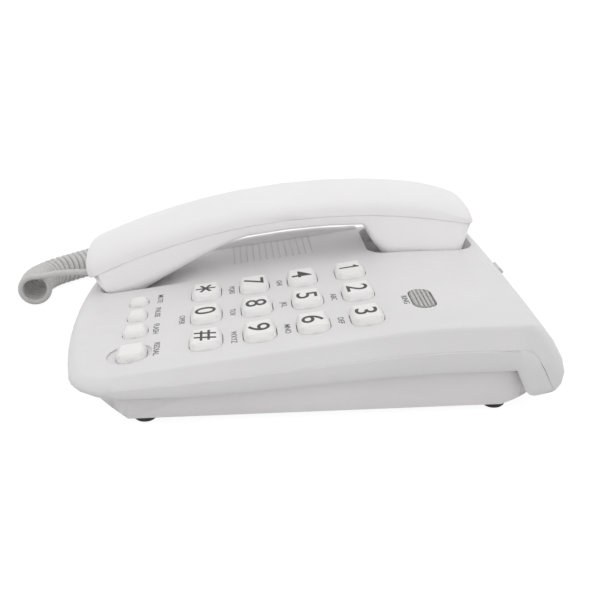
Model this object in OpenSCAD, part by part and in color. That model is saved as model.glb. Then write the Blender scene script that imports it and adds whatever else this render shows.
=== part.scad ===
// Corded desk telephone with a side-cradled handset.
// +Z up. The user sits at -Y, the handset lies along the left side (-X).
// The origin is on the table, under the middle of the base.

/* [Base] */
// Overall width of the base, across its skirt
base_w = 160; // [156:1:168]
// Overall length of the base, from its nose to its tail
base_l = 222; // [220:1:232]
// Height of the keypad deck above the table, half way along the base
deck_z = 36; // [35:0.5:39]
// Slope of the keypad deck, rising to the tail
deck_slope = 7.4; // [6.8:0.1:7.6]
// Wall of the upper and lower housings
wall = 2.4; // [2:0.1:2.8]
// How far the front edge bows out
nose_bow = 9; // [5:1:12]
// Plan radius of the two front corners
nose_corner = 20; // [14:1:22]
// Plan radius of the two rear corners
tail_corner = 5; // [4:1:8]
// Width of the slanted strip between the deck's edge and the skirt
strip_w = 3.4; // [2.6:0.1:3.8]
// Height of the skirt's lower edge at the front
lip_front_z = 15; // [14.5:0.5:16]
// Height of the skirt's lower edge beside the cradle's rear well
lip_rear_z = 22; // [21:0.5:23]
// Height of the tail's lower edge
tail_z = 12; // [11:0.5:13]
// How far the lower housing stands in from the skirt
shell_inset = 7; // [6:0.5:8]
// Height of the lower housing's floor above the table, on its rubber feet
floor_z = 3; // [2.5:0.5:3.5]
// Diameter of a rubber foot
foot_d = 10; // [9:0.5:12]

/* [Keypad] */
// Distance from the base's right edge to the middle of the keypad
keypad_side = 55; // [54:0.5:56]
// Centre of the keypad, towards the tail
keypad_y = -10; // [-11:0.5:-9]
// Distance between the columns of digit keys
pitch_x = 29.5; // [28:0.5:30]
// Distance between the rows of digit keys, along the deck
pitch_y = 24; // [22.5:0.5:24.5]
// Width of a digit key
key_w = 20; // [18:0.5:22]
// Length of a digit key
key_l = 14.6; // [14.4:0.2:17]
// Corner radius of a digit key
key_r = 6.5; // [4:0.5:6.5]
// How far a key stands out of the deck
key_rise = 3; // [2.8:0.2:4]
// Travel of a key
key_travel = 1.5; // [1:0.1:1.7]
// Clearance around a key in its hole
key_gap = 0.4; // [0.3:0.1:0.6]
// Distance from the keypad's centre to the row of function keys
function_row = 69; // [68:0.5:69.5]

/* [Handset] */
// Distance from the base's left edge to the middle of the handset
handset_side = 29.7; // [29.5:0.1:31]
// Width of the handset
handset_w = 46; // [44:0.5:46.5]
// Radius of the handset's arched back
arch_r = 323.6; // [318:1:330]
// Height of the top of the arched back above the table
arch_top = 73.6; // [73:0.2:75]
// Depth of the handset's grip
grip_t = 18.2; // [17.6:0.2:18.4]
// Depth of the seam between its two shells, under its back
seam_t = 11.8; // [10.6:0.2:12.4]
// Depth of the ear block, under the grip
ear_depth = 21.4; // [20:0.2:21.8]
// Depth of the mouth block, under the grip
mouth_depth = 12.9; // [12:0.1:13.1]
// Wall of the handset's shells
handset_wall = 2.2; // [1.8:0.1:2.4]
// Clearance between the handset's blocks and the cradle wells
cradle_gap = 1; // [0.8:0.1:1.2]

/* [Cord] */
// Diameter of the cord
cord_d = 3.1; // [2.8:0.1:3.2]
// Distance between neighbouring curls
curl_pitch = 4.6; // [4.5:0.1:4.8]
// Radius of a curl, to the middle of the cord
curl_r = 6.65; // [6:0.05:6.7]
// Number of curls
curls = 50; // [30:1:60]

/* [Hidden] */
$fn = 48;
eps = 0.01;
slip = 0.3;                // clearance between pieces that move past each other
rest_gap = 0.4;            // gap under the handset's blocks, when it lies in its cradle
lead_w = 0.2;              // how much wider a plug's socket is than the plug

nose_y = -base_l / 2;
tail_y = base_l / 2;
half_w = base_w / 2;
handset_x = -half_w + handset_side;
keypad_x = half_w - keypad_side;

// ---------------------------------------------------------------- general shapes

function lerp(a, b, t) = a + (b - a) * t;
function clamp01(t) = max(0, min(1, t));
function smooth(t) = let (u = clamp01(t)) u * u * (3 - 2 * u);
function rev(v) = [for (i = [len(v) - 1 : -1 : 0]) v[i]];
function mirror_x(v) = [for (p = v) [-p[0], p[1], p[2]]];
function unit(v) = v / norm(v);

// Triangles between consecutive rings of n points, the rings given as one flat list
function ring_sides(rings, n) = [
    for (k = [0 : rings - 2], i = [0 : n - 1])
        let (a = k * n + i, b = k * n + (i + 1) % n)
        each [[a, b, b + n], [a, b + n, a + n]]
];

// Closed solid through rings of equal length, its two ends fanned shut
module loft(rings) {
    n = len(rings[0]);
    last = (len(rings) - 1) * n;
    ends = [for (i = [1 : n - 2]) each [[0, i + 1, i], [last, last + i, last + i + 1]]];
    polyhedron(
        points = [for (r = rings) each r],
        faces = [for (f = concat(ends, ring_sides(len(rings), n))) rev(f)],
        convexity = 6);
}

// Rounded rectangle, centred
module pill(w, l, r) {
    rr = min(r, min(w, l) / 2 - eps);
    square([w - 2 * rr, l], center = true);
    square([w, l - 2 * rr], center = true);
    for (x = [-1, 1], y = [-1, 1]) translate([x * (w / 2 - rr), y * (l / 2 - rr)]) circle(r = rr);
}

// Solid between x0 and x1 whose outline in the YZ plane is the 2D child
module side_extrude(x0, x1) {
    translate([x0, 0, 0]) rotate([90, 0, 90]) linear_extrude(x1 - x0) children();
}

// Pin head and shank, standing on the head, for self-tapping screws
module screw(head_d, head_h, shank_d, shank_h) {
    difference() {
        cylinder(d = head_d, h = head_h);
        translate([0, 0, -eps]) for (a = [0, 90]) rotate([0, 0, a])
            translate([-head_d * 0.3, -head_d * 0.07, 0]) cube([head_d * 0.6, head_d * 0.14, head_h * 0.5]);
    }
    translate([0, 0, head_h - eps]) cylinder(d = shank_d, h = shank_h + eps);
}

// ---------------------------------------------------------------- deck and skirt curves

bend_y = keypad_y + 44;    // the deck starts to level out here
level_y = bend_y + 28;     // and is level from here on
slope_m = tan(deck_slope);

function deck_at(y) = y < bend_y ? deck_z + slope_m * y
    : y < level_y ? deck_z + slope_m * y - slope_m * pow(y - bend_y, 2) / (2 * (level_y - bend_y))
    : deck_z + slope_m * (bend_y + level_y) / 2;
function slope_at(y) = y < bend_y ? deck_slope
    : y < level_y ? atan(slope_m * (level_y - y) / (level_y - bend_y)) : 0;

leg_y = tail_y - 23;       // the skirt drops towards the table behind here
leg_run = 6;
leg_z = 9;                 // foot of that drop

function lip_at(y) = y < leg_y ? lerp(lip_front_z, lip_rear_z, smooth((y - nose_y - 41) / 133))
    : y < leg_y + leg_run ? lerp(lip_rear_z, leg_z, (y - leg_y) / leg_run)
    : lerp(leg_z, tail_z, clamp01((y - leg_y - leg_run) / 15));

// Places its children on the deck plane, x and s measured from the keypad's centre
module on_deck(x = 0, s = 0) {
    translate([keypad_x + x, keypad_y, deck_at(keypad_y)]) rotate([deck_slope, 0, 0])
        translate([0, s, 0]) children();
}

// Places its children on the top of the housing at any x and y
module on_top(x, y) {
    translate([x, y, deck_at(y)]) rotate([slope_at(y), 0, 0]) children();
}

// ---------------------------------------------------------------- handset's arch

arch_y = 29;                       // the arch is highest above this place
arch_z = arch_top - arch_r;        // height of the arch's centre
seam_r = arch_r - seam_t;
grip_r = arch_r - grip_t;
mouth_r = grip_r - mouth_depth;
ear_r = grip_r - ear_depth;
front_t = -25.7;                   // angles of the handset's two ends, from the top of the arch
rear_t = 12.14;

function polar(t, r) = [arch_y + r * sin(t), arch_z + r * cos(t)];
function arc_deg(mm) = mm / seam_r * 180 / PI;

// Places its children on the arch, their z axis pointing away from its centre
module radial(t, r) {
    p = polar(t, r);
    translate([handset_x, p[0], p[1]]) rotate([-t, 0, 0]) children();
}

// ---------------------------------------------------------------- base housings

// Levels of the housing, from the skirt's lower edge to the deck. Each holds the share of the
// height, the inset at the sides, the inset of the nose and the inset of the tail.
LEVELS = [
    [0,    0.8,             6.6,  2.2],
    [0.08, 0.2,             4.2,  0.6],
    [0.25, 0,               1.2,  0],
    [0.46, 0,               0,    1.6],
    [0.72, strip_w * 0.52,  0.8,  5.6],
    [0.90, strip_w * 0.88,  2.2,  9.8],
    [0.97, strip_w,         4.0,  12.4],
    [1,    strip_w + 1.2,   6.6,  15.4]
];
side_steps = 7;            // stretches along the sloped part of a side
bend_steps = 4;            // stretches along the part that levels out
corner_steps = 5;
front_steps = 4;
tail_bow = 0.8;            // how far the tail bows out

// Points of the right half of one level, from the middle of the nose to the middle of the tail
function half_outline(hw, y0, y1) =
    let (
        beta = atan(2 * nose_bow * (hw - nose_corner) / (hw * hw)),
        x_c = hw - nose_corner,
        x_s = x_c + nose_corner * sin(beta),
        y_c = y0 + nose_bow * pow(x_s / hw, 2) + nose_corner * cos(beta),
        side_y = nose_y + nose_bow + nose_corner + wall + 7,
        tail_r = max(3, min(tail_corner, y1 - leg_y - leg_run - 0.5)),
        legs = [-3, 0, leg_run / 3, leg_run * 2 / 3, leg_run]
    )
    concat(
        [for (i = [0 : front_steps - 1]) let (x = x_s * i / front_steps) [x, y0 + nose_bow * pow(x / hw, 2)]],
        [for (i = [0 : corner_steps])
            let (a = lerp(-90 + beta, 0, i / corner_steps))
            [x_c + nose_corner * cos(a), y_c + nose_corner * sin(a)]],
        [for (i = [0 : side_steps]) [hw, lerp(side_y, bend_y, i / side_steps)]],
        [for (i = [1 : bend_steps]) [hw, lerp(bend_y, level_y, i / bend_steps)]],
        [for (i = [0 : 4]) [hw, min(leg_y + legs[i], y1 - tail_r - 0.4 * (5 - i))]],
        [for (i = [0 : corner_steps])
            let (a = 90 * i / corner_steps)
            [hw - tail_corner + tail_corner * cos(a), y1 - tail_r + tail_r * sin(a)]],
        [[hw / 2, y1 + tail_bow * 0.75], [0, y1 + tail_bow]]
    );

// One level as a closed ring: the right half, then the left half mirrored
function level_ring(level, inset, drop) =
    let (
        half = half_outline(half_w - level[1] - inset, nose_y + level[2] + inset,
            tail_y - tail_bow - level[3] - inset),
        right = [for (p = half) [p[0], p[1], lerp(lip_at(p[1]), deck_at(p[1]), level[0]) - drop]],
        n = len(right)
    )
    concat(right, mirror_x([for (i = [n - 2 : -1 : 1]) right[i]]));

// Closed solid through the levels, shrunk by inset, its top lowered and its underside taken down
module housing_solid(inset, top_drop, lip_drop) {
    rings = [for (k = [0 : len(LEVELS) - 1])
        level_ring(LEVELS[k], inset, k == 0 ? lip_drop : top_drop * LEVELS[k][0])];
    n = len(rings[0]);
    top = (len(rings) - 1) * n;
    // the two level ends are closed by strips between points that face each other across the middle
    ends = [for (i = [0 : n / 2 - 1])
        let (a = i, b = i + 1, c = (n - i - 1) % n, d = (n - i) % n)
        each i == 0 ? [[a, c, b], [top + a, top + b, top + c]]
            : i == n / 2 - 1 ? [[a, d, b], [top + a, top + b, top + d]]
            : [[a, d, c], [a, c, b], [top + a, top + b, top + c], [top + a, top + c, top + d]]];
    polyhedron(
        points = [for (r = rings) each r],
        faces = [for (f = concat(ends, ring_sides(len(rings), n))) rev(f)],
        convexity = 6);
}

// Plan of the skirt's lower edge
module lip_plan() polygon([for (p = level_ring(LEVELS[0], 0, 0)) [p[0], p[1]]]);

// The two wells of the cradle. grow makes the solid around a well, of which the well is cut out.
well_w = handset_w + 2 * cradle_gap;
well_wall = 1.6;
well_top = 60;             // the wells are cut up to this height
mouth_back = -50.5;        // the mouth well runs out in the deck here
ear_front = 38.8;          // front edge of the ear well
ear_back = 95;             // rear edge of the ear well

module well(outline, y0, y1, corner, grow) {
    intersection() {
        side_extrude(handset_x - well_w / 2 - 3 * grow, handset_x + well_w / 2 + grow)
            polygon(concat([for (p = outline) [p[0], p[1] - grow]],
                [[y1 + grow, well_top], [y0 - grow, well_top]]));
        translate([handset_x, (y0 + y1) / 2, 0]) linear_extrude(well_top + 1)
            pill(well_w + (grow > 0 ? 8 * grow : 0), y1 - y0 + 2 * grow, corner + grow);
    }
}

module mouth_well(grow = 0) {
    r = mouth_r - rest_gap;
    front = polar(-25.55, mouth_r + 10);
    well([front - [grow, 0], polar(-25.15, mouth_r + 1.6) - [grow, 0], polar(-24.4, r + 0.5) - [grow * 0.6, 0],
        polar(-23.2, r), polar(-22.6, r), polar(-22, r), [mouth_back + grow, deck_at(mouth_back)]],
        front[0], mouth_back, 9, grow);
}

module ear_well(grow = 0) {
    r = ear_r - rest_gap;
    well([[ear_front - grow, deck_at(ear_front)], [ear_front + 1.5 - grow, 35.5], [ear_front + 6, 33],
        polar(4.4, r), polar(6.5, r), polar(8.5, r), polar(10.5, r), polar(12, r),
        [ear_back - 2 + grow, 34], [ear_back + grow, deck_at(ear_back)]],
        ear_front, ear_back, 11, grow);
}

// Grille between the wells, rows of small holes that let the ringer's sound out
grille_rows = 13;
grille_row_pitch = 3.5;
grille_holes = 9;          // holes in a row
grille_pitch = 3.4;
grille_d = 1.1;
grille_x = handset_x - keypad_x - 7.7;

module grille() {
    for (i = [0 : grille_rows - 1], k = [0 : grille_holes - 1])
        on_deck(grille_x + (k - (grille_holes - 1) / 2) * grille_pitch, (i - (grille_rows - 1) / 2) * grille_row_pitch)
            translate([0, 0, -8]) cylinder(d = grille_d, h = 10, $fn = 16);
}

// Ringer, in a collar under the slots
ringer_d = 30;
ringer_h = 6;
collar_h = 4;

module on_ringer() {
    on_deck(grille_x, 0) translate([0, 0, -wall]) children();
}

// Hook plunger, its axis upright under the ear block
hook_y = 68;
hook_d = 7;
hook_travel = 4;
hook_top = arch_z + sqrt(pow(ear_r, 2) - pow(hook_y - arch_y, 2)) - rest_gap;
guide_h = 4;

module on_hook() {
    translate([handset_x, hook_y, hook_top]) children();
}

// Screws that hold the two housings together, and where the two meet round them
SCREWS = [[half_w - 14, nose_y + 49], [half_w - 14, tail_y - 49], [4, tail_y - 25],
    [handset_x, mouth_back + 10.5], [handset_x, ear_front - 14.8]];
screw_d = 2.8;
screw_head = 5.6;
post_d = 7.4;
post_z = 11;               // the lower posts end here, and the upper ones stand on them
screw_seat = 7;            // height of the heads' seats

// Groove round the sides, where the slanted strip meets the skirt, turning down at the tail
groove_w = 0.4;
groove_d = 0.35;
GROOVE = concat(
    [for (y = [nose_y + 26 : 20 : tail_y - 25]) [y, lerp(lip_at(y), deck_at(y), 0.5)]],
    [[tail_y - 18.4, 31], [tail_y - 14.7, 28.5], [tail_y - 11.1, 22.3], [tail_y - 7.8, 15.4]]);

module grooves() {
    n = len(GROOVE);
    for (x = [-half_w - 1, half_w - groove_d]) side_extrude(x, x + 1 + groove_d)
        polygon(concat(
            [for (i = [0 : n - 1])
                let (d = unit(GROOVE[min(i + 1, n - 1)] - GROOVE[max(i - 1, 0)]))
                GROOVE[i] + [-d[1], d[0]] * groove_w / 2],
            [for (i = [n - 1 : -1 : 0])
                let (d = unit(GROOVE[min(i + 1, n - 1)] - GROOVE[max(i - 1, 0)]))
                GROOVE[i] - [-d[1], d[0]] * groove_w / 2]));
}

// Ringer's volume switch, on the slant of the tail
function tail_point(level) =
    let (y = tail_y - level[3])
    [y, lerp(lip_at(y), deck_at(y), level[0])];
slant_low = tail_point(LEVELS[4]);
slant_high = tail_point(LEVELS[6]);
slant = atan2(slant_low[1] - slant_high[1], slant_low[0] - slant_high[0]);
switch_travel = 3;
switch_l = 23;
switch_gap = 4.2;          // between the switch and the wall of the ear well
switch_x = handset_x + well_w / 2 + well_wall + switch_l / 2 + switch_gap;
slot_depth = 3.3;          // thickness of the housing's wall under the slot, across the slant

module on_slant() {
    p = (slant_low + slant_high) / 2;
    translate([switch_x, p[0], p[1]]) rotate([slant, 0, 0]) children();
}

module upper_housing() {
    color("whitesmoke") difference() {
        union() {
            difference() {
                housing_solid(0, 0, 0);
                difference() {
                    housing_solid(wall, wall, 3);
                    mouth_well(well_wall);
                    ear_well(well_wall);
                    on_ringer() translate([0, 0, -collar_h]) cylinder(d = ringer_d + 2 * wall, h = collar_h + 2);
                    on_hook() translate([0, 0, -well_wall - guide_h]) cylinder(d = hook_d + 5, h = guide_h + 2);
                    for (s = SCREWS) translate([s[0], s[1], post_z]) cylinder(d = post_d, h = 60);
                    for (p = BOARD_POSTS) on_deck(p[0], p[1]) translate([0, 0, board_top])
                        cylinder(d = board_post_d, h = 30);
                    on_slant() for (x = [-1, 1]) translate([x * (switch_l / 2 + 0.8) - 0.8, -4, -11])
                        cube([1.6, 8, 12]);
                }
            }
            intersection() {
                mouth_well(well_wall);
                linear_extrude(lip_front_z + 4) lip_plan();
            }
            for (s = SCREWS) translate([s[0], s[1], post_z]) cylinder(d = post_d, h = lip_rear_z + 2 - post_z);
        }
        mouth_well();
        ear_well();
        grille();
        grooves();
        on_ringer() translate([0, 0, -collar_h - 1]) cylinder(d = ringer_d, h = collar_h + 1);
        on_hook() translate([0, 0, -well_wall - guide_h - 1]) cylinder(d = hook_d + 2 * 0.08, h = guide_h + 6);
        for (s = SCREWS) translate([s[0], s[1], post_z - 4]) cylinder(d = screw_d, h = 14);
        for (p = BOARD_POSTS) on_deck(p[0], p[1]) translate([0, 0, board_top - 1])
            cylinder(d = board_screw_d, h = 6.5);
        for (k = KEYS) on_deck(k[1], k[2]) translate([0, 0, -10]) linear_extrude(12)
            pill(k[3] + 2 * key_gap, k[4] + 2 * key_gap, k[5] + key_gap);
        redial_dish();
        on_lens() translate([0, 0, -10]) linear_extrude(12) pill(lens_w, lens_l, lens_l / 2);
        on_slant() translate([0, 0, -slot_depth - 1]) linear_extrude(8) pill(slider_l + 2 * switch_travel + 1, 4.8, 1.2);
        translate([line_x - jack_w / 2 - 0.1, tail_y - 8, jack_z - 0.1]) cube([jack_w + 0.2, 12, jack_h + 0.2]);
    }
}

// Lower housing: upright walls inside the skirt, a cone for the bowed slope of the nose, and a
// slanted tail. The shell stands in from the skirt, which rests on its flange.
shell_w = half_w - shell_inset;
bow_r = pow(half_w, 2) / (2 * nose_bow);
front_clear = 0.4;
front_y = nose_y + LEVELS[0][2] + wall + front_clear;
front_slope = 41;
shell_corner = 19;
tail_inset = 4.6;          // how far the shell's rear end stands in from the tail
flange_w = half_w - wall - LEVELS[0][1] - 0.3;
flange_z = 1.6;            // the flange lies this far above the skirt's edge
flange_t = 2;

function bottom_profile(inset) = [
    [nose_y, floor_z + inset],
    [tail_y - 27, floor_z + inset],
    [tail_y - 13, floor_z + 5.3 + inset],
    [tail_y - tail_inset - inset, floor_z + 7.5 + inset]
];
// The skirt's edge with the drop of its leg, from the tail to the nose
function lip_path(rise, back) = concat(
    [[back, lip_at(back) + rise], [leg_y + leg_run, leg_z + rise], [leg_y, lip_rear_z + rise]],
    [for (i = [1 : 12]) let (y = lerp(leg_y, nose_y, i / 12)) [y, lip_at(y) + rise]]);

module shell_plan(inset) {
    y0 = front_y + inset;
    y1 = tail_y - tail_inset - inset;
    translate([0, (y0 + y1) / 2]) pill(2 * (shell_w - inset), y1 - y0, shell_corner);
}

module nose_cone(inset) {
    h = 30;
    low_r = bow_r - inset - (lip_front_z - floor_z) / tan(front_slope);
    translate([0, front_y + bow_r, floor_z]) cylinder(r1 = low_r, r2 = low_r + h / tan(front_slope), h = h, $fn = 360);
}

module shell_body(inset, rise) {
    intersection() {
        linear_extrude(60) shell_plan(inset);
        side_extrude(-half_w, half_w)
            polygon(concat(bottom_profile(inset), lip_path(rise, tail_y - tail_inset - inset)));
        nose_cone(inset);
    }
}

module flange() {
    intersection() {
        linear_extrude(60) intersection() {
            translate([0, (front_y + tail_y - tail_inset) / 2]) pill(2 * flange_w, tail_y - tail_inset - front_y, 16);
            translate([-half_w, nose_y + 26]) square([base_w, leg_y - 2 - nose_y - 26]);
        }
        side_extrude(-half_w, half_w) polygon(concat(
            lip_path(flange_z, tail_y - tail_inset), rev(lip_path(flange_z + flange_t, tail_y - tail_inset))));
    }
}

// Keyholes for hanging on a wall
keyhole_gap = 82.6;
keyhole_y = -22.6;
keyhole_d = 9;
keyhole_slot = 4.4;
FEET = [for (x = [-1, 1], y = [nose_y + 38, tail_y - 29]) [x * (shell_w - 6.5), y]];
foot_sink = 1;
jack_w = 12;
jack_h = 11;
jack_l = 14;
jack_z = 13.6;
line_x = 30;
cord_jack_y = 34;
cord_jack_z = 9.3;
cord_jack_w = 10;
cord_jack_l = 12;
PEGS = [[half_w - 66, -44], [half_w - 66, -12]];
plate_w = 46;
plate_l = 44;
plate_t = 3;

// Block under the line cord's socket, from a height z up
module line_jack_block(z) {
    translate([line_x - jack_w / 2 - wall, tail_y - 20, z]) cube([jack_w + 2 * wall, 14, jack_z - z]);
}

module lower_housing() {
    color("gainsboro") difference() {
        union() {
            difference() {
                union() {
                    shell_body(0, flange_z + eps);
                    flange();
                }
                difference() {
                    shell_body(wall, 20);
                    for (s = SCREWS) translate([s[0], s[1], 0]) cylinder(d = post_d, h = post_z);
                    for (p = PEGS) translate([p[0], p[1], 0]) cylinder(d = 4, h = floor_z + wall + plate_t + 1);
                    line_jack_block(floor_z);
                    for (x = [-1, 1]) translate([handset_x + x * 9.7 - 1, hook_y - 8, 0]) cube([2, 16, 12]);
                }
            }
            line_jack_block(tail_z - 1.5);
        }
        mouth_well(well_wall + slip);
        for (f = FEET) translate([f[0], f[1], 0]) cylinder(d = foot_d, h = floor_z + foot_sink);
        for (s = SCREWS) translate([s[0], s[1], 0]) {
            cylinder(d = screw_head + 0.6, h = screw_seat);
            cylinder(d = screw_d + 0.6, h = post_z + 1);
        }
        for (y = [keyhole_y, keyhole_y + keyhole_gap]) translate([0, y, 0]) {
            cylinder(d = keyhole_d, h = floor_z + wall + 1);
            translate([-keyhole_slot / 2, 0, 0]) cube([keyhole_slot, 9, floor_z + wall + 1]);
            translate([0, 9, 0]) cylinder(d = keyhole_slot, h = floor_z + wall + 1);
        }
        translate([-shell_w - 1, cord_jack_y - cord_jack_w / 2, floor_z + wall])
            cube([wall + 2, cord_jack_w, 2 * (cord_jack_z - floor_z - wall)]);
    }
}

module rubber_feet() {
    color("black") for (f = FEET) translate([f[0], f[1], 0])
        rotate_extrude() polygon([[0, 0], [foot_d / 2 - 0.8, 0], [foot_d / 2, 0.8],
            [foot_d / 2, floor_z + foot_sink], [0, floor_z + foot_sink]]);
}

module housing_screws() {
    color("silver") for (s = SCREWS) translate([s[0], s[1], screw_seat - 2]) screw(screw_head, 2, screw_d, 13);
}

module ballast_plate() {
    color("slategray") difference() {
        translate([PEGS[0][0] - plate_w / 2 + 6, (PEGS[0][1] + PEGS[1][1] - plate_l) / 2, floor_z + wall])
            cube([plate_w, plate_l, plate_t]);
        for (p = PEGS) translate([p[0], p[1], 0]) cylinder(d = 4.1, h = 20);
    }
}

// ---------------------------------------------------------------- keypad

// Depths of the stack under the deck: keys' flanges, rubber mat, circuit board
flange_top = -wall - slip;
key_flange = 1.2;
dome_top = flange_top - key_flange - key_travel - slip;
dome_h = 2.6;
mat_t = 1.2;
board_top = dome_top - dome_h - mat_t;
board_t = 1.6;
board_s0 = -79;
board_s1 = 74;
board_x0 = -45;
board_x1 = 39;
board_post_d = 6;
board_screw_d = 2.2;
BOARD_POSTS = [[-39, -53.5], [35, -53.5], [-39, 52], [35, 52]];

function_rise = key_rise - 0.6;
// Keys: name, x and s from the keypad's centre, width, length, corner radius, height
KEYS = [
    ["1", -pitch_x, pitch_y * 1.5, key_w, key_l, key_r, key_rise],
    ["2", 0, pitch_y * 1.5, key_w, key_l, key_r, key_rise],
    ["3", pitch_x, pitch_y * 1.5, key_w, key_l, key_r, key_rise],
    ["4", -pitch_x, pitch_y * 0.5, key_w, key_l, key_r, key_rise],
    ["5", 0, pitch_y * 0.5, key_w, key_l, key_r, key_rise],
    ["6", pitch_x, pitch_y * 0.5, key_w, key_l, key_r, key_rise],
    ["7", -pitch_x, -pitch_y * 0.5, key_w, key_l, key_r, key_rise],
    ["8", 0, -pitch_y * 0.5, key_w, key_l, key_r, key_rise],
    ["9", pitch_x, -pitch_y * 0.5, key_w, key_l, key_r, key_rise],
    ["star", -pitch_x, -pitch_y * 1.5, key_w, key_l, key_r, key_rise],
    ["0", 0, -pitch_y * 1.5, key_w, key_l, key_r, key_rise],
    ["hash", pitch_x, -pitch_y * 1.5, key_w, key_l, key_r, key_rise],
    ["mute", -30.4, -function_row - 0.6, 9.5, 9.2, 3.8, function_rise],
    ["pause", -12.5, -function_row - 0.3, 11.8, 9.3, 3.9, function_rise],
    ["flash", 7, -function_row, 12.5, 11.5, 4.9, function_rise],
    ["redial", 30.7, -function_row, 15.4, 13.4, 5.8, function_rise]
];

// Outline of a key's crown, seen from one side: upright walls and a rounded, slightly domed top
module crown(w, edge, rise) {
    translate([-w / 2, flange_top - key_flange]) square([w, rise - flange_top + key_flange - edge]);
    translate([-w / 2 + edge, 0]) square([w - 2 * edge, rise - 0.25]);
    for (x = [-1, 1]) translate([x * (w / 2 - edge), rise - edge - 0.25]) circle(r = edge);
    intersection() {
        translate([0, rise - w * w]) circle(r = w * w, $fn = 720);
        translate([-w / 2 + edge, rise - 1]) square([w - 2 * edge, 2]);
    }
}

// A key: its crown is cut by its plan and by its outline from the front and from the side
module key(i) {
    k = KEYS[i];
    edge = min(2.2, k[6] - 0.5);
    color("white") on_deck(k[1], k[2]) {
        intersection() {
            translate([0, 0, flange_top - key_flange]) linear_extrude(20) pill(k[3], k[4], k[5]);
            rotate([90, 0, 0]) translate([0, 0, -k[4]]) linear_extrude(2 * k[4]) crown(k[3], edge, k[6]);
            rotate([90, 0, 90]) translate([0, 0, -k[3]]) linear_extrude(2 * k[3]) crown(k[4], edge, k[6]);
        }
        translate([0, 0, flange_top - key_flange]) linear_extrude(key_flange)
            pill(k[3] + 2 * key_gap + 1.6, k[4] + 2 * key_gap + 1.6, k[5] + key_gap + 0.8);
    }
}

// Shallow dish in the deck round the redial key
module redial_dish() {
    k = KEYS[15];
    on_deck(k[1], k[2] - 1) translate([0, 0, -0.8]) linear_extrude(3) pill(k[3] + 5, k[4] + 7, (k[4] + 7) / 2);
}

// Notches round the posts that join the housings
module post_notches() {
    for (s = SCREWS) translate([s[0], s[1], 0]) cylinder(d = post_d + 1, h = 60);
}

module keypad_mat() {
    color("lightgray") difference() {
        on_deck() {
            translate([-43, -function_row - 9, board_top])
                cube([board_x1 + 43, function_row + pitch_y * 1.5 + 20, mat_t]);
            for (k = KEYS) translate([k[1], k[2], board_top + mat_t - eps])
                cylinder(d1 = 8, d2 = 4.4, h = dome_h + eps);
        }
        for (p = BOARD_POSTS) on_deck(p[0], p[1]) translate([0, 0, board_top - 1])
            cylinder(d = board_post_d + 0.6, h = 4);
        post_notches();
    }
}

module main_board() {
    under = board_top - board_t;
    color("darkolivegreen") difference() {
        on_deck() {
            translate([board_x0, board_s0, under]) cube([board_x1 - board_x0, board_s1 - board_s0, board_t]);
            // components on the underside
            translate([-10, -10, under - 4]) cube([22, 7.6, 4 + eps]);
            translate([-32, 34, under - 7]) cube([12, 14, 7 + eps]);
            for (x = [16, 26]) translate([x, 40, under - 7]) cylinder(d = 7, h = 7 + eps);
            for (x = [-20, -14, -8]) translate([x, -34, under - 2.5]) cube([3, 7, 2.5 + eps]);
        }
        for (p = BOARD_POSTS) on_deck(p[0], p[1]) translate([0, 0, under - 1])
            cylinder(d = board_screw_d + 0.4, h = 4);
        post_notches();
    }
}

module board_screws() {
    color("silver") for (p = BOARD_POSTS) on_deck(p[0], p[1])
        translate([0, 0, board_top - board_t - 1.6]) screw(4.4, 1.6, board_screw_d, 6);
}

// ---------------------------------------------------------------- ring lamp, ringer, hook, jacks

lens_w = 24;
lens_l = 11;
lens_x = 16;
lens_s = 63.6;
lens_groove = 0.8;

// The lens lies where the deck has begun to level out
module on_lens() {
    on_top(keypad_x + lens_x, keypad_y + lens_s * cos(deck_slope)) children();
}

module ring_lens() {
    color("darkgray") on_lens() {
        translate([0, 0, -wall - 1.15]) linear_extrude(1) pill(lens_w + 3, lens_l + 3, lens_l / 2 + 1.5);
        translate([0, 0, -wall - 0.2]) linear_extrude(wall - 0.3)
            pill(lens_w - 2 * lens_groove, lens_l - 2 * lens_groove, lens_l / 2);
        intersection() {
            translate([0, 0, -1]) linear_extrude(1.2) pill(lens_w - 2 * lens_groove - 0.8, lens_l - 2 * lens_groove - 0.8, 5);
            for (i = [-2 : 2]) translate([-lens_w / 2, i * 1.85 - 0.55, -1]) cube([lens_w, 1.1, 2]);
        }
    }
}

led_d = 5;

module ring_led() {
    color("tomato") on_deck(lens_x, lens_s) translate([0, 0, board_top]) {
        cylinder(d = led_d + 0.8, h = 1);
        cylinder(d = led_d, h = 2.2);
        translate([0, 0, 2.2]) intersection() {
            sphere(d = led_d);
            cylinder(d = led_d, h = led_d);
        }
    }
}

module ringer() {
    color("dimgray") on_ringer() translate([0, 0, -ringer_h]) difference() {
        cylinder(d = ringer_d, h = ringer_h);
        translate([0, 0, ringer_h - 0.8]) cylinder(d = ringer_d - 4, h = 2);
    }
}

// The plunger is pressed down while the handset lies in the cradle
module hook_plunger() {
    tip = -guide_h - well_wall;
    color("whitesmoke") on_hook() {
        translate([0, 0, tip - 7]) cylinder(d = hook_d, h = 7 - tip - 1.5);
        translate([0, 0, -1.5 - eps]) rotate_extrude() polygon([[0, 0], [hook_d / 2, 0], [hook_d / 2, 0.3],
            [hook_d / 2 - 0.8, 1.1], [0, 1.1]]);
        translate([0, 0, tip - hook_travel - 2.4]) cylinder(d = hook_d + 4, h = 2);
    }
}

module hook_switch() {
    top = hook_top - guide_h - well_wall - 7 - slip;
    color("dimgray") {
        translate([handset_x - 8.7, hook_y - 5, floor_z + wall]) cube([17.4, 10, top - floor_z - wall - 2]);
        translate([handset_x, hook_y, top - 2 - eps]) cylinder(d = 3.4, h = 2);
    }
}

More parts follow.
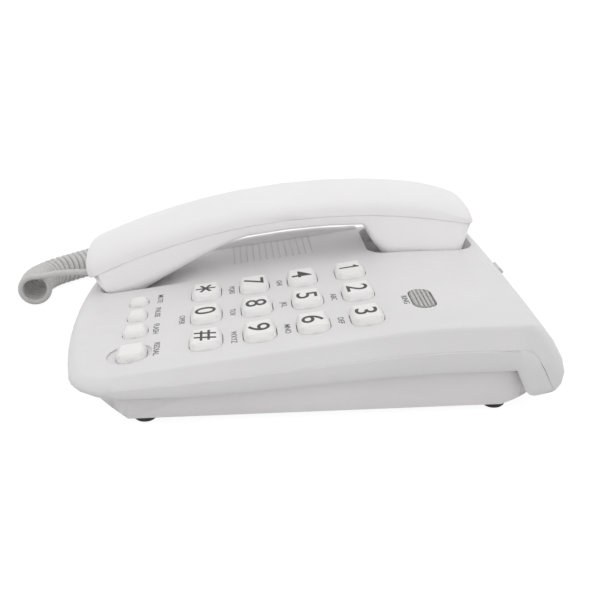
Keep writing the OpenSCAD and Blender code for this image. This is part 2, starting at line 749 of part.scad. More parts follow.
// Modular telephone socket with its mouth towards -Y: body, opening and latch notch
module socket(w, l, h, mouth_w, mouth_h, depth) {
    difference() {
        translate([-w / 2, 0, -h / 2]) cube([w, l, h]);
        translate([-mouth_w / 2, -1, -mouth_h / 2]) cube([mouth_w, depth + 1, mouth_h]);
        translate([-mouth_w / 4, -1, mouth_h / 2 - eps]) cube([mouth_w / 2, depth * 0.6 + 1, 1]);
    }
    for (i = [-1.5 : 1.5]) translate([i * 1.02 - 0.2, depth * 0.3, -mouth_h / 2 - eps]) cube([0.4, depth * 0.6, 0.5]);
}

module line_jack() {
    color("gray") translate([line_x, tail_y - 2.4, jack_z + jack_h / 2]) rotate([0, 0, 180])
        socket(jack_w, jack_l, jack_h, 9.8, 6.8, 11);
}

// Plug that fits the handset cord's two sockets. Its contacts' side is down, its latch up.
plug_w = 7.6;
plug_h = 5.4;
plug_in = 8.4;
plug_out = 6;
mouth_w = plug_w + lead_w;
mouth_h = plug_h + 1.1;
plug_floor = -mouth_h / 2;     // the plug lies on the socket's floor, which has the contacts

module base_cord_jack() {
    h = 2 * (cord_jack_z - floor_z - wall);
    color("gray") translate([-shell_w + 0.4, cord_jack_y, cord_jack_z]) rotate([0, 0, -90])
        socket(cord_jack_w, cord_jack_l, h, mouth_w, mouth_h, plug_in + 0.6);
}

// Plug with its nose towards +Y and its cord boss ending at y = -plug_out
module plug() {
    difference() {
        translate([-plug_w / 2, -plug_out + 3, plug_floor]) cube([plug_w, plug_in + plug_out - 3, plug_h]);
        for (i = [-1.5 : 1.5]) translate([i * 1.02 - 0.25, plug_in * 0.3 - 0.3, plug_floor - eps])
            cube([0.5, plug_in, 0.6]);
    }
    translate([0, -plug_out, 0]) rotate([-90, 0, 0]) cylinder(d = cord_d + 1.6, h = 3 + eps);
    translate([-1.5, -1, plug_floor + plug_h - eps]) cube([3, plug_in * 0.5, 0.5]);
}

module ringer_switch() {
    color("dimgray") on_slant() translate([0, 0, -slot_depth - 8])
        translate([-switch_l / 2, -3, 0]) cube([switch_l, 6, 5.6]);
}

slider_l = 9;

module ringer_slider() {
    color("whitesmoke") on_slant() {
        translate([0, 0, -slot_depth - 0.5]) linear_extrude(slot_depth + 2.1) pill(slider_l, 4.2, 1);
        translate([-slider_l / 2 - 3, -3, -slot_depth - 2]) cube([slider_l + 6, 6, 1.6]);
    }
}

// ---------------------------------------------------------------- handset

half_h = handset_w / 2;
seam_over = 1;             // the hollows run this far past the seam
end_r = [6, 9];            // plan radii of the front end and the rear end
seam_step = 0.25;          // the lower shell stands in by this much at the seam

function corner(d, r) = d >= r ? 0 : d <= 0 ? r : r - sqrt(r * r - (r - d) * (r - d));
// How far the plan of the handset draws in at an angle, for a handset whose ends are at t0 and t1
function draw_in(t, t0, t1) = max(corner((t - t0) / arc_deg(1) + 0.3, end_r[0]), corner((t1 - t) / arc_deg(1) + 0.3, end_r[1]));
// How far its back drops at an angle
function back_drop(t, t0, t1) = max(corner((t - t0) / arc_deg(1) + 0.4, 9),
    corner((t1 - t) / arc_deg(1) + 0.4, 8) + 0.0042 * pow(max(0, 34 - (t1 - t) / arc_deg(1)), 2));

// Half ring over the seam, or under it where height is negative, from the right side to the left
function shell_ring(t, hw, height, power, steps, base) = [
    for (i = [0 : steps])
        let (
            a = 180 * i / steps,
            x = hw * sign(cos(a)) * pow(abs(cos(a)), 2 / power),
            p = polar(t, base + height * pow(abs(sin(a)), 2 / power))
        )
        [handset_x + (i == steps ? -hw : x), p[0], p[1]]];

// Depth of the handset's belly under the grip, as shares of the blocks' depths
MOUTH = [[-25.3, -0.1], [-25.2, 0.25], [-25.05, 0.5], [-24.9, 0.7], [-24.6, 0.87], [-24.1, 0.97], [-23.3, 1],
    [-22, 1], [-21.2, 0.975], [-19.2, 0.825], [-16.4, 0.59], [-13.7, 0.325], [-11.4, 0.08], [-10, 0]];
EAR = [[1.2, 0], [1.6, 0.1], [2.2, 0.38], [3.4, 0.74], [4.1, 0.92], [5, 0.99], [6.2, 1], [7.6, 1], [9, 1],
    [10, 1], [10.8, 1], [11.3, 0.95], [11.5, 0.84], [11.65, 0.62], [11.8, 0.3], [11.95, -0.1]];
BELLY = concat(
    [for (m = MOUTH) [m[0], grip_r - m[1] * mouth_depth]],
    [[-6, grip_r], [-2, grip_r]],
    [for (e = EAR) [e[0], grip_r - e[1] * ear_depth]]);
belly_t = [BELLY[0][0], BELLY[len(BELLY) - 1][0]];

back_steps = 14;
belly_steps = 12;

// The back has the belly's rings and two more at each end, so the two meet edge to edge at the seam
module back_solid(inset) {
    t0 = front_t + arc_deg(inset);
    t1 = rear_t - arc_deg(inset);
    over = inset > 0 ? seam_over : 0;
    loft([for (t = concat([front_t, front_t + 0.15], [for (b = BELLY) b[0]], [rear_t - 0.1, rear_t]))
        let (u = lerp(t0, t1, (t - front_t) / (rear_t - front_t)))
        rev(shell_ring(u, half_h - inset - draw_in(u, t0, t1),
            max(0.8, arch_r - seam_r - inset - back_drop(u, t0, t1) + over), 2.6, back_steps, seam_r - over))]);
}

module belly_solid(inset) {
    t0 = belly_t[0] + arc_deg(inset);
    t1 = belly_t[1] - arc_deg(inset);
    over = inset > 0 ? seam_over : 0;
    loft([for (b = BELLY)
        if (inset == 0 || (b[0] > t0 && b[0] < t1))
            let (depth = seam_r - b[1] - inset)
            shell_ring(b[0], half_h - seam_step - inset - draw_in(b[0], t0, t1), -depth - over, 5, belly_steps,
                seam_r + over)]);
}

// Screws that hold the handset's shells together
HANDSET_SCREWS = [-10.6, -0.2];
handset_screw_d = 2.4;
screw_post_d = 6;
screw_sink = 2;            // how deep a head sits in the lower shell

// Receiver, under the ear block's grille, and microphone, behind the mouth block's face
ear_t = 7.8;
receiver_d = 30;
receiver_h = 8;
gasket_t = 1.2;
ear_seat = ear_r + handset_wall + 0.8;
mouth_low = polar(-22, mouth_r);
mouth_high = polar(-11.4, grip_r - 0.08 * mouth_depth);
ramp = atan2(mouth_high[1] - mouth_low[1], mouth_high[0] - mouth_low[0]);
mic_d = 9.7;
mic_h = 5;
boot_wall = 1.6;
mic_seat = handset_wall + 0.4;
mic_share = 0.3;           // place of the microphone along the face, from the mouth's end

module on_ramp() {
    p = lerp(mouth_low, mouth_high, mic_share);
    translate([handset_x, p[0], p[1]]) rotate([ramp, 0, 0]) children();
}

// The cord's socket in the front of the mouth block
mouth_jack_y = arch_y - 126.5;
mouth_jack_z = arch_top - 46;
mouth_jack_w = 10.4;
mouth_jack_h = 9.4;
mouth_jack_l = 11.5;

module on_mouth_jack() {
    translate([handset_x, mouth_jack_y, mouth_jack_z]) children();
}

// Steel bar that gives the handset its weight
weight_t = -5.4;
weight_w = 16;
weight_l = 34;
weight_h = 6;
weight_r = grip_r + handset_wall + 0.6;

module handset_upper_shell() {
    color("white") difference() {
        back_solid(0);
        difference() {
            back_solid(handset_wall);
            for (t = HANDSET_SCREWS) radial(t, seam_r - 3) cylinder(d = screw_post_d, h = 20);
        }
        for (t = HANDSET_SCREWS) radial(t, seam_r - 2) cylinder(d = handset_screw_d, h = 9);
    }
}

module handset_lower_shell() {
    color("white") difference() {
        belly_solid(0);
        difference() {
            belly_solid(handset_wall);
            for (t = HANDSET_SCREWS) radial(t, grip_r - 6) cylinder(d = screw_post_d, h = seam_r - grip_r + 8);
            radial(ear_t, ear_r - 2) cylinder(d = receiver_d + 4, h = ear_seat - ear_r + 6);
            on_ramp() cylinder(d = mic_d + 2 * boot_wall + 3, h = mic_seat + 4);
            on_mouth_jack() translate([-mouth_jack_w / 2 - 1.6, -9, -mouth_jack_h / 2 - 1.6])
                cube([mouth_jack_w + 3.2, mouth_jack_l + 10.6, mouth_jack_h + 3.2]);
            radial(weight_t, grip_r) translate([-weight_w / 2 - 2, -weight_l / 2 - 2, 0])
                cube([weight_w + 4, weight_l + 4, 5]);
        }
        for (t = HANDSET_SCREWS) radial(t, grip_r - 8) {
            cylinder(d = 4.6, h = 8 + screw_sink);
            cylinder(d = handset_screw_d + 0.4, h = 20);
        }
        radial(ear_t, ear_seat) cylinder(d = receiver_d + 0.4, h = 20);
        radial(ear_t, ear_r - 8) {
            cylinder(d = 1.8, h = 20);
            for (a = [0 : 60 : 300]) rotate([0, 0, a]) translate([5, 0, 0]) cylinder(d = 1.8, h = 20);
        }
        on_ramp() translate([0, 0, mic_seat]) cylinder(d = mic_d + 2 * boot_wall, h = 20);
        on_ramp() translate([0, 0, -5]) cylinder(d = 1.6, h = 20);
        on_mouth_jack() translate([-mouth_jack_w / 2, -20, -mouth_jack_h / 2])
            cube([mouth_jack_w, mouth_jack_l + 20, mouth_jack_h]);
        radial(weight_t, weight_r) translate([-weight_w / 2, -weight_l / 2, 0]) cube([weight_w, weight_l, 20]);
    }
}

module receiver() {
    color("dimgray") radial(ear_t, ear_seat + gasket_t) {
        cylinder(d = receiver_d, h = receiver_h * 0.6);
        translate([0, 0, receiver_h * 0.6 - eps]) cylinder(d = receiver_d * 0.62, h = receiver_h * 0.4);
    }
}

module receiver_gasket() {
    color("black") radial(ear_t, ear_seat) difference() {
        cylinder(d = receiver_d, h = gasket_t);
        translate([0, 0, -1]) cylinder(d = receiver_d - 9, h = gasket_t + 2);
    }
}

module microphone() {
    color("silver") on_ramp() translate([0, 0, mic_seat + 1]) cylinder(d = mic_d, h = mic_h);
}

module microphone_boot() {
    color("black") on_ramp() translate([0, 0, mic_seat]) difference() {
        cylinder(d = mic_d + 2 * boot_wall, h = mic_h);
        translate([0, 0, 1]) cylinder(d = mic_d, h = mic_h);
        translate([0, 0, -1]) cylinder(d = 3, h = 3);
    }
}

module handset_weight() {
    color("slategray") radial(weight_t, weight_r)
        translate([-weight_w / 2, -weight_l / 2, 0]) cube([weight_w, weight_l, weight_h]);
}

module handset_cord_jack() {
    color("gray") on_mouth_jack() socket(mouth_jack_w, mouth_jack_l, mouth_jack_h, mouth_w, mouth_h, plug_in + 0.6);
}

module handset_screws() {
    color("silver") for (t = HANDSET_SCREWS) radial(t, grip_r + screw_sink - 1.6) screw(4.4, 1.6, handset_screw_d, 10);
}

module handset_plug() {
    color("whitesmoke") on_mouth_jack() plug();
}

module base_plug() {
    color("whitesmoke") translate([-shell_w + 0.4, cord_jack_y, cord_jack_z]) rotate([0, 0, -90]) plug();
}

// ---------------------------------------------------------------- cord

// Tube of n sides along points, each ring square to the path and turned to face its own outward
// direction
function tube_ring(p, tangent, outward, n) =
    let (
        t = unit(tangent),
        u = unit(outward - (outward * t) * t),
        v = cross(t, u)
    )
    [for (i = [0 : n - 1]) p + cord_d / 2 * (cos(360 * i / n) * u + sin(360 * i / n) * v)];

function along(path, i) = path[min(i + 1, len(path) - 1)] - path[max(i - 1, 0)];

// Curly cord. Its axis lies on the table: out to the left of the base's front corner, towards the
// tail, in behind the base and then along its left side.
curl_start = [-74, -143];
curl_head = 183;           // heading of the axis, in degrees from +X
first_r = 7.8;             // the first curls are wider
wide_curls = 7;
ring_count = 8;            // rings to a curl
floor_gap = 0.1;
turns = curls - 0.5;
// Stretches of the axis: length and radius of the bend, negative to the left, 0 where it is straight
STRETCHES = [[10, 0], [34 * 50 * PI / 180, 34], [29.8, 0], [40 * 84 * PI / 180, 40], [18.6, 0],
    [60 * 41 * PI / 180, -60], [1000, 0]];

// Place and heading after walking a distance along stretch k and the ones after it
function walk(p, head, d, k = 0) =
    let (
        length = STRETCHES[k][0],
        r = STRETCHES[k][1],
        step = min(d, length),
        turn = r != 0 ? step / r * 180 / PI : 0,
        q = r != 0
            ? p + r * [sin(head), -cos(head)] - r * [sin(head - turn), -cos(head - turn)]
            : p + step * [cos(head), sin(head)]
    )
    d <= length ? [q, head - turn] : walk(q, head - turn, d - length, k + 1);

// Centre of the cord, its direction and its outward direction at turn number w of the curls
function curl(w) =
    let (
        at = walk(curl_start, curl_head, max(0, w) * curl_pitch),
        r = lerp(first_r, curl_r, smooth(w / wide_curls)),
        h = at[1],
        side = [sin(h), -cos(h), 0],
        out = [0, 0, cos(360 * w)] - side * sin(360 * w),
        centre = [at[0][0], at[0][1], r + cord_d / 2 + floor_gap],
        forward = [cos(h), sin(h), 0] * curl_pitch / (2 * PI * r)
    )
    [centre + r * out, -[0, 0, sin(360 * w)] - side * cos(360 * w) + forward, out];

coil_in = curl(0);
coil_out = curl(turns);
coil_tail = coil_out[0] - [sin(walk(curl_start, curl_head, turns * curl_pitch)[1]), 0, 0] * -cord_d;

module cord_coil() {
    first = coil_in[0] - cord_d * [coil_in[1][0], coil_in[1][1], 0] / norm([coil_in[1][0], coil_in[1][1]]);
    steps = round(turns * ring_count);
    color("gainsboro") loft(concat(
        [tube_ring(first, coil_in[0] - first, coil_in[2], 6)],
        [for (i = [0 : steps]) let (c = curl(i / ring_count)) tube_ring(c[0], c[1], c[2], 6)],
        [tube_ring(coil_tail, coil_tail - coil_out[0], coil_out[2], 6)]));
    places = [for (i = [0 : steps]) curl(i / ring_count)[0]];
    least = min([for (i = [0 : steps - 1]) each [for (j = [ceil(ring_count * 0.6) : ring_count * 2])
        if (i + j <= steps) norm(places[i] - places[i + j])]]) - cord_d;
    echo(least_gap_between_curls = least);
}

// Free leads at the two ends of the curly cord, from the plugs to the curls
LEAD_POINTS = [
    [-55, -122, 25.8], [-61.5, -130, 22.8], [-67.5, -135.3, 19.9], [-72, -137, 17.9]
];
BASE_LEAD_POINTS = [[-94.5, 34, 4.4], [-90, 34, 7.8]];

function spline(p, k, u) =
    let (
        a = p[max(k - 1, 0)], b = p[k], c = p[k + 1], d = p[min(k + 2, len(p) - 1)]
    )
    0.5 * (2 * b + (c - a) * u + (2 * a - 5 * b + 4 * c - d) * u * u + (3 * b - a - 3 * c + d) * u * u * u);

module lead(start, start_dir, points, end, end_dir, parts = 2) {
    route = concat([start, start + cord_d * start_dir], points, [end - cord_d * end_dir, end]);
    n = len(route);
    fine = concat([route[0]],
        [for (k = [1 : n - 3], i = [0 : parts - 1]) spline(route, k, i / parts)], [route[n - 2], route[n - 1]]);
    color("gainsboro") loft([for (i = [0 : len(fine) - 1]) tube_ring(fine[i],
        i == 0 ? start_dir : i == len(fine) - 1 ? end_dir : along(fine, i), [0, 0.3, 1], 8)]);
}

module handset_lead() {
    dir = unit([coil_in[1][0], coil_in[1][1], 0]);
    lead([handset_x, mouth_jack_y - plug_out, mouth_jack_z], [0, -1, 0], LEAD_POINTS, coil_in[0] - cord_d * dir, dir);
}

module base_lead() {
    lead(coil_tail, [1, 0, 0], BASE_LEAD_POINTS, [-shell_w + 0.4 - plug_out, cord_jack_y, cord_jack_z], [1, 0, 0]);
}

// ---------------------------------------------------------------- drawing

upper_housing();
lower_housing();
rubber_feet();
housing_screws();
ballast_plate();
main_board();
board_screws();
keypad_mat();
ring_lens();
ring_led();
ringer();
hook_plunger();
hook_switch();
line_jack();
base_cord_jack();
ringer_switch();
ringer_slider();
for (i = [0 : len(KEYS) - 1]) key(i);
handset_upper_shell();
handset_lower_shell();
receiver();
receiver_gasket();
microphone();
microphone_boot();
handset_weight();
handset_cord_jack();
handset_screws();
cord_coil();
handset_lead();
base_lead();
handset_plug();
base_plug();
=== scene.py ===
"""Finish of a corded desk telephone: its cord, moulded plastics, printed keys and studio stage."""

import math
from bisect import bisect_right

import bpy
from bpy.props import FloatProperty, FloatVectorProperty, IntProperty, PointerProperty
from mathutils import Matrix, Vector


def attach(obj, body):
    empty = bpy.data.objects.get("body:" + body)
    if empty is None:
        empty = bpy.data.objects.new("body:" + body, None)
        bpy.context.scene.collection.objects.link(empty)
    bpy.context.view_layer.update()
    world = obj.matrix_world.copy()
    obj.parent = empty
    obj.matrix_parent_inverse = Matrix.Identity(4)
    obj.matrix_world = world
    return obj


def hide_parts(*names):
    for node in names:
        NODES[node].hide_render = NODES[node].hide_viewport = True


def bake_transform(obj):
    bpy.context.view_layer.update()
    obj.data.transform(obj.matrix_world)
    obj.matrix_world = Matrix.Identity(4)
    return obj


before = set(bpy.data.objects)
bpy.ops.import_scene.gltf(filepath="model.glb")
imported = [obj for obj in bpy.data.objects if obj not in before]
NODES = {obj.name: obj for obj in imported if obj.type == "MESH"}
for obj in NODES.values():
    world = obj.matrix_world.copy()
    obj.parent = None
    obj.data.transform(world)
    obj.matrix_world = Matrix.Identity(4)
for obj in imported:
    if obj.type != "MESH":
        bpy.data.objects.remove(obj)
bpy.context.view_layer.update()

bl_info = {
    "name": "Corded Desk Telephone",
    "version": (1, 0, 0),
    "blender": (4, 5, 0),
    "location": "View3D > Sidebar > Telephone",
    "description": "Dresses a corded desk telephone: cord, plastics, keys, legends and stage",
    "category": "Object",
}

MM = 0.001                         # a millimetre, in Blender's metres

# ------------------------------------------------------------------ settings


class TelephoneSizes(bpy.types.PropertyGroup):
    """Sizes of the telephone's cord and print."""

    cord_diameter: FloatProperty(
        name="Cord diameter", description="Diameter of the cord's sheath",
        default=3.2 * MM, min=2 * MM, max=5 * MM, unit="LENGTH")
    cord_sides: IntProperty(
        name="Cord sides", description="Flats round the cord's sheath", default=12, min=6, max=24)
    curl_steps: IntProperty(
        name="Steps per curl", description="Points along each curl of the cord", default=28, min=12, max=48)
    digit_height: FloatProperty(
        name="Digit height", description="Height of the digits on the keys",
        default=9.8 * MM, min=4 * MM, max=12 * MM, unit="LENGTH")
    word_height: FloatProperty(
        name="Word height", description="Height of the small words printed on the deck",
        default=2.65 * MM, min=1 * MM, max=4 * MM, unit="LENGTH")
    ink_thickness: FloatProperty(
        name="Ink thickness", description="How far the printing stands on the plastic",
        default=0.03 * MM, min=0.01 * MM, max=0.1 * MM, unit="LENGTH")


class TelephoneColours(bpy.types.PropertyGroup):
    """Colours of the telephone's plastics and print."""

    housing: FloatVectorProperty(
        name="Housing", description="Colour of the base's upper housing",
        default=(0.775, 0.763, 0.768), min=0, max=1, subtype="COLOR")
    # Painted light: the lower housing is painted lighter than the upper, standing in for light the floor
    # throws up on it
    lower: FloatVectorProperty(
        name="Lower housing", description="Colour of the base's lower housing",
        default=(0.875, 0.86, 0.867), min=0, max=1, subtype="COLOR")
    handset: FloatVectorProperty(
        name="Handset", description="Colour of the handset's shells",
        default=(0.89, 0.877, 0.88), min=0, max=1, subtype="COLOR")
    keys: FloatVectorProperty(
        name="Keys", description="Colour of the keys",
        default=(0.885, 0.877, 0.86), min=0, max=1, subtype="COLOR")
    ink: FloatVectorProperty(
        name="Ink", description="Colour of the digits",
        default=(0.03, 0.03, 0.034), min=0, max=1, subtype="COLOR")
    word_ink: FloatVectorProperty(
        name="Word ink", description="Colour of the small words",
        default=(0.09, 0.09, 0.095), min=0, max=1, subtype="COLOR")
    cord: FloatVectorProperty(
        name="Cord", description="Colour of the cord's sheath",
        default=(0.61, 0.603, 0.591), min=0, max=1, subtype="COLOR")
    lens: FloatVectorProperty(
        name="Lens", description="Colour of the ring lamp's lens",
        default=(0.62, 0.62, 0.61), min=0, max=1, subtype="COLOR")


def sizes():
    return bpy.context.scene.telephone_sizes


def colours():
    return bpy.context.scene.telephone_colours


# ------------------------------------------------------------------ materials

MADE = {}                          # each finish's material, by the name that paint is given


class Finish:
    """A new material whose nodes are added and joined by short calls."""

    def __init__(self, name):
        self.material = bpy.data.materials.new(name)
        self.material.use_nodes = True
        self.tree = self.material.node_tree
        self.shader = self.tree.nodes["Principled BSDF"]
        self.place = self.add("ShaderNodeTexCoord").outputs["Object"]

    def add(self, kind, **values):
        node = self.tree.nodes.new(kind)
        for key, value in values.items():
            setattr(node, key, value)
        return node

    def join(self, a, b):
        self.tree.links.new(a, b)

    def noise(self, scale, detail=3.0, rough=0.5):
        node = self.add("ShaderNodeTexNoise")
        node.inputs["Scale"].default_value = scale
        node.inputs["Detail"].default_value = detail
        node.inputs["Roughness"].default_value = rough
        self.join(self.place, node.inputs["Vector"])
        return node.outputs["Fac"]

    def spread(self, value, low, high, from_low=0.3, from_high=0.7):
        """Maps a noise's middle range to the one wanted."""
        node = self.add("ShaderNodeMapRange")
        node.inputs["From Min"].default_value = from_low
        node.inputs["From Max"].default_value = from_high
        node.inputs["To Min"].default_value = low
        node.inputs["To Max"].default_value = high
        self.join(value, node.inputs["Value"])
        return node.outputs["Result"]

    def blend(self, factor, a, b):
        """Mixes two colours, each a value or another node's output."""
        node = self.add("ShaderNodeMix", data_type="RGBA")
        self.join(factor, node.inputs["Factor"])
        for socket, value in (("A", a), ("B", b)):
            socket = next(s for s in node.inputs if s.name == socket and s.type == "RGBA")
            if isinstance(value, bpy.types.NodeSocket):
                self.join(value, socket)
            else:
                socket.default_value = (*value, 1)
        return next(s for s in node.outputs if s.type == "RGBA")

    def colour(self, value):
        self.join(value, self.shader.inputs["Base Color"])

    def rough(self, value):
        self.join(value, self.shader.inputs["Roughness"])

    def bump(self, height, distance, strength=1.0, normal=None):
        node = self.add("ShaderNodeBump")
        node.inputs["Distance"].default_value = distance
        node.inputs["Strength"].default_value = strength
        self.join(height, node.inputs["Height"])
        if normal is not None:
            self.join(normal, node.inputs["Normal"])
        self.join(node.outputs["Normal"], self.shader.inputs["Normal"])
        return node.outputs["Normal"]

    def set(self, **values):
        for key, value in values.items():
            self.shader.inputs[key.replace("_", " ")].default_value = value


BELLY_PAINTED_LIGHT = 1.06                  # painted light: the belly's plastic is painted so much lighter than the back's, against the shade it lies in


def shade(colour, factor):
    """A colour made darker or lighter."""
    return tuple(min(1.0, c * factor) for c in colour)


def moulded_plastic(name, colour, low=0.36, high=0.50, grain=0.012, grain_size=0.35, drift=0.03):
    """Injection-moulded plastic: slow drift of tone, a spark-eroded grain and uneven gloss."""
    made = Finish(name)
    slow = made.noise(22, 2)
    grime = made.noise(140, 5, 0.6)
    grain_noise = made.noise(1000 / grain_size, 2, 0.6)
    tone = made.blend(made.spread(slow, 0, 1), shade(colour, 1 - drift), shade(colour, 1 + drift * 0.4))
    tone = made.blend(made.spread(grime, 0, 0.35, 0.5, 0.85), tone, shade(colour, 0.955))
    made.colour(tone)
    made.rough(made.spread(grime, low, high))
    wave = made.bump(slow, 0.00008, 0.25)
    made.bump(grain_noise, grain * MM, 0.55, wave)
    made.set(IOR=1.52)
    return made.material


def rubber(name, colour):
    """Dull rubber with a little dust."""
    made = Finish(name)
    dust = made.noise(900, 4, 0.65)
    made.colour(made.blend(made.spread(dust, 0, 1, 0.45, 0.75), colour, shade(colour, 2.2)))
    made.rough(made.spread(dust, 0.62, 0.85))
    made.bump(made.noise(3500, 2), 0.00002, 0.6)
    return made.material


def ink(name, colour):
    """Pad-printed ink: thin, a little patchy and slightly glossier than the plastic."""
    made = Finish(name)
    patch = made.noise(1800, 4, 0.7)
    made.colour(made.blend(made.spread(patch, 0, 1, 0.45, 0.8), colour, tuple(c + 0.05 for c in colour)))
    made.rough(made.spread(patch, 0.38, 0.55))
    made.bump(patch, 0.000006, 0.5)
    return made.material


def zinc(name, colour):
    """Plated or rolled steel, spangled and brushed by handling."""
    made = Finish(name)
    spangle = made.add("ShaderNodeTexVoronoi")
    spangle.inputs["Scale"].default_value = 900
    made.join(made.place, spangle.inputs["Vector"])
    made.colour(made.blend(spangle.outputs["Distance"], shade(colour, 0.8), shade(colour, 1.15)))
    made.rough(made.spread(made.noise(1200, 3), 0.25, 0.42))
    made.bump(made.noise(5200, 2), 0.000008, 0.5)
    made.set(Metallic=1.0)
    return made.material


def circuit_board(name, colour):
    """Solder mask over fine copper tracks."""
    made = Finish(name)
    tracks = made.add("ShaderNodeTexBrick", offset=0.5)
    tracks.inputs["Scale"].default_value = 180
    tracks.inputs["Mortar Size"].default_value = 0.05
    made.join(made.place, tracks.inputs["Vector"])
    made.colour(made.blend(tracks.outputs["Fac"], colour, shade(colour, 1.7)))
    made.rough(made.spread(made.noise(600), 0.25, 0.4))
    made.bump(tracks.outputs["Fac"], 0.00003, 0.5)
    return made.material


def clear_plastic(name, colour):
    """Clear moulded plastic of a plug, a little cloudy."""
    made = Finish(name)
    cloud = made.noise(700, 3)
    made.colour(made.blend(made.spread(cloud, 0, 1), shade(colour, 0.93), colour))
    made.rough(made.spread(cloud, 0.10, 0.22))
    made.bump(made.noise(2200, 2), 0.00001, 0.4)
    made.set(Transmission_Weight=0.75, IOR=1.49)
    return made.material


def lens_plastic(name, colour):
    """Cloudy, light-spreading plastic of the ring lamp's lens."""
    made = Finish(name)
    cloud = made.noise(500, 4, 0.6)
    made.colour(made.blend(made.spread(cloud, 0, 1), shade(colour, 0.82), shade(colour, 1.1)))
    made.rough(made.spread(cloud, 0.16, 0.30))
    made.bump(made.noise(1500, 2), 0.00003, 0.6)
    made.set(Transmission_Weight=0.25, IOR=1.49)
    return made.material


def cord_sheath(name, colour):
    """Soft vinyl sheath with a faint drag along its length and handling marks."""
    made = Finish(name)
    marks = made.noise(260, 5, 0.65)
    fine = made.noise(4200, 2)
    made.colour(made.blend(made.spread(marks, 0, 1), shade(colour, 0.95), shade(colour, 1.04)))
    made.rough(made.spread(marks, 0.34, 0.50))
    made.bump(fine, 0.000012, 0.5)
    made.set(Subsurface_Weight=0.06, Subsurface_Scale=0.002)
    return made.material


def make_finishes():
    """Makes every finish once."""
    c = colours()
    MADE["housing"] = moulded_plastic("housing_plastic", c.housing)
    # Its lighter colour paints in the floor's bounce light on the lower housing
    MADE["lower"] = moulded_plastic("lower_plastic_painted_lighter", c.lower, 0.42, 0.56, 0.016, 0.42)
    smooth = (0.30, 0.42, 0.007, 0.30, 0.02)
    MADE["handset"] = moulded_plastic("handset_plastic", c.handset, *smooth)
    # Painted light: the belly is the handset's own plastic painted lighter, to lift the shade under the
    # handset
    MADE["belly"] = moulded_plastic("belly_plastic_painted_lighter", shade(c.handset, BELLY_PAINTED_LIGHT), *smooth)
    MADE["keys"] = moulded_plastic("key_plastic", c.keys, 0.30, 0.44, 0.006, 0.28, 0.02)
    MADE["ink"] = ink("digit_ink", c.ink)
    MADE["word_ink"] = ink("word_ink", c.word_ink)
    MADE["rubber"] = rubber("black_rubber", (0.018, 0.018, 0.019))
    MADE["mat"] = rubber("keypad_rubber", (0.42, 0.42, 0.41))
    MADE["steel"] = zinc("zinc_plated_steel", (0.62, 0.62, 0.60))
    MADE["ballast"] = zinc("rolled_steel", (0.36, 0.37, 0.39))
    MADE["board"] = circuit_board("solder_mask", (0.02, 0.11, 0.04))
    MADE["dark"] = moulded_plastic("dark_plastic", (0.03, 0.03, 0.033), 0.4, 0.55)
    MADE["socket"] = moulded_plastic("socket_plastic", (0.42, 0.42, 0.40), 0.35, 0.5)
    MADE["plug"] = clear_plastic("plug_plastic", (0.86, 0.87, 0.86))
    MADE["lens"] = lens_plastic("lens_plastic", c.lens)
    MADE["led"] = clear_plastic("lamp_plastic", (0.60, 0.08, 0.06))
    MADE["cord"] = cord_sheath("cord_vinyl", c.cord)


NODE_FINISH = {
    "rubber_feet": "rubber", "housing_screws": "steel", "ballast_plate": "ballast", "main_board": "board",
    "board_screws": "steel", "keypad_mat": "mat", "ring_lens": "lens", "ring_led": "led", "ringer": "dark",
    "hook_plunger": "housing", "hook_switch": "dark", "line_jack": "socket", "base_cord_jack": "socket",
    "ringer_switch": "dark", "ringer_slider": "housing", "receiver": "dark", "receiver_gasket": "rubber",
    "microphone": "steel", "microphone_boot": "rubber", "handset_weight": "ballast",
    "handset_cord_jack": "socket", "handset_screws": "steel", "handset_plug": "plug", "base_plug": "plug",
    "cord_coil": "cord", "handset_lead": "cord", "base_lead": "cord",
}


def paint(piece, finish):
    """Gives a whole piece one finish."""
    piece.data.materials.clear()
    piece.data.materials.append(MADE[finish])
    for polygon in piece.data.polygons:
        polygon.material_index = 0


# ------------------------------------------------------------------ making meshes

WELD = 0.002 * MM                  # corners closer than this are one
FLAT_WEIGHT = 80                   # how much the large faces lead the normals
SKIN_ANGLE = 60                    # degrees: sharper edges stay sharp on new solids


def only(piece):
    """Makes a piece the one thing selected."""
    if bpy.context.object and bpy.context.object.mode != "OBJECT":
        bpy.ops.object.mode_set(mode="OBJECT")
    bpy.ops.object.select_all(action="DESELECT")
    piece.select_set(True)
    bpy.context.view_layer.objects.active = piece


def new_piece(name, mesh):
    """Puts a mesh in the scene."""
    piece = bpy.data.objects.new(name, mesh)
    bpy.context.scene.collection.objects.link(piece)
    return piece


def carve(piece, cutter):
    """Cuts one solid out of another and clears it away."""
    only(piece)
    cut = piece.modifiers.new("carve", "BOOLEAN")
    cut.operation = "DIFFERENCE"
    cut.solver = "EXACT"
    cut.object = cutter
    bpy.ops.object.modifier_apply(modifier=cut.name)
    only(cutter)
    bpy.ops.object.delete()


def smooth_copy(node, name, angle, rework=None):
    """A welded copy of a moulding's mesh, smooth but for edges sharper than the angle."""
    piece = new_piece(name, NODES[node].data.copy())
    only(piece)
    bpy.ops.object.mode_set(mode="EDIT")
    bpy.ops.mesh.select_all(action="SELECT")
    bpy.ops.mesh.remove_doubles(threshold=WELD)
    bpy.ops.object.mode_set(mode="OBJECT")
    if rework:
        rework(piece)
    only(piece)
    bpy.ops.object.shade_smooth_by_angle(angle=math.radians(angle))
    weigh = piece.modifiers.new("even_normals", "WEIGHTED_NORMAL")
    weigh.keep_sharp = True
    weigh.weight = FLAT_WEIGHT
    bpy.ops.object.modifier_apply(modifier=weigh.name)
    return piece


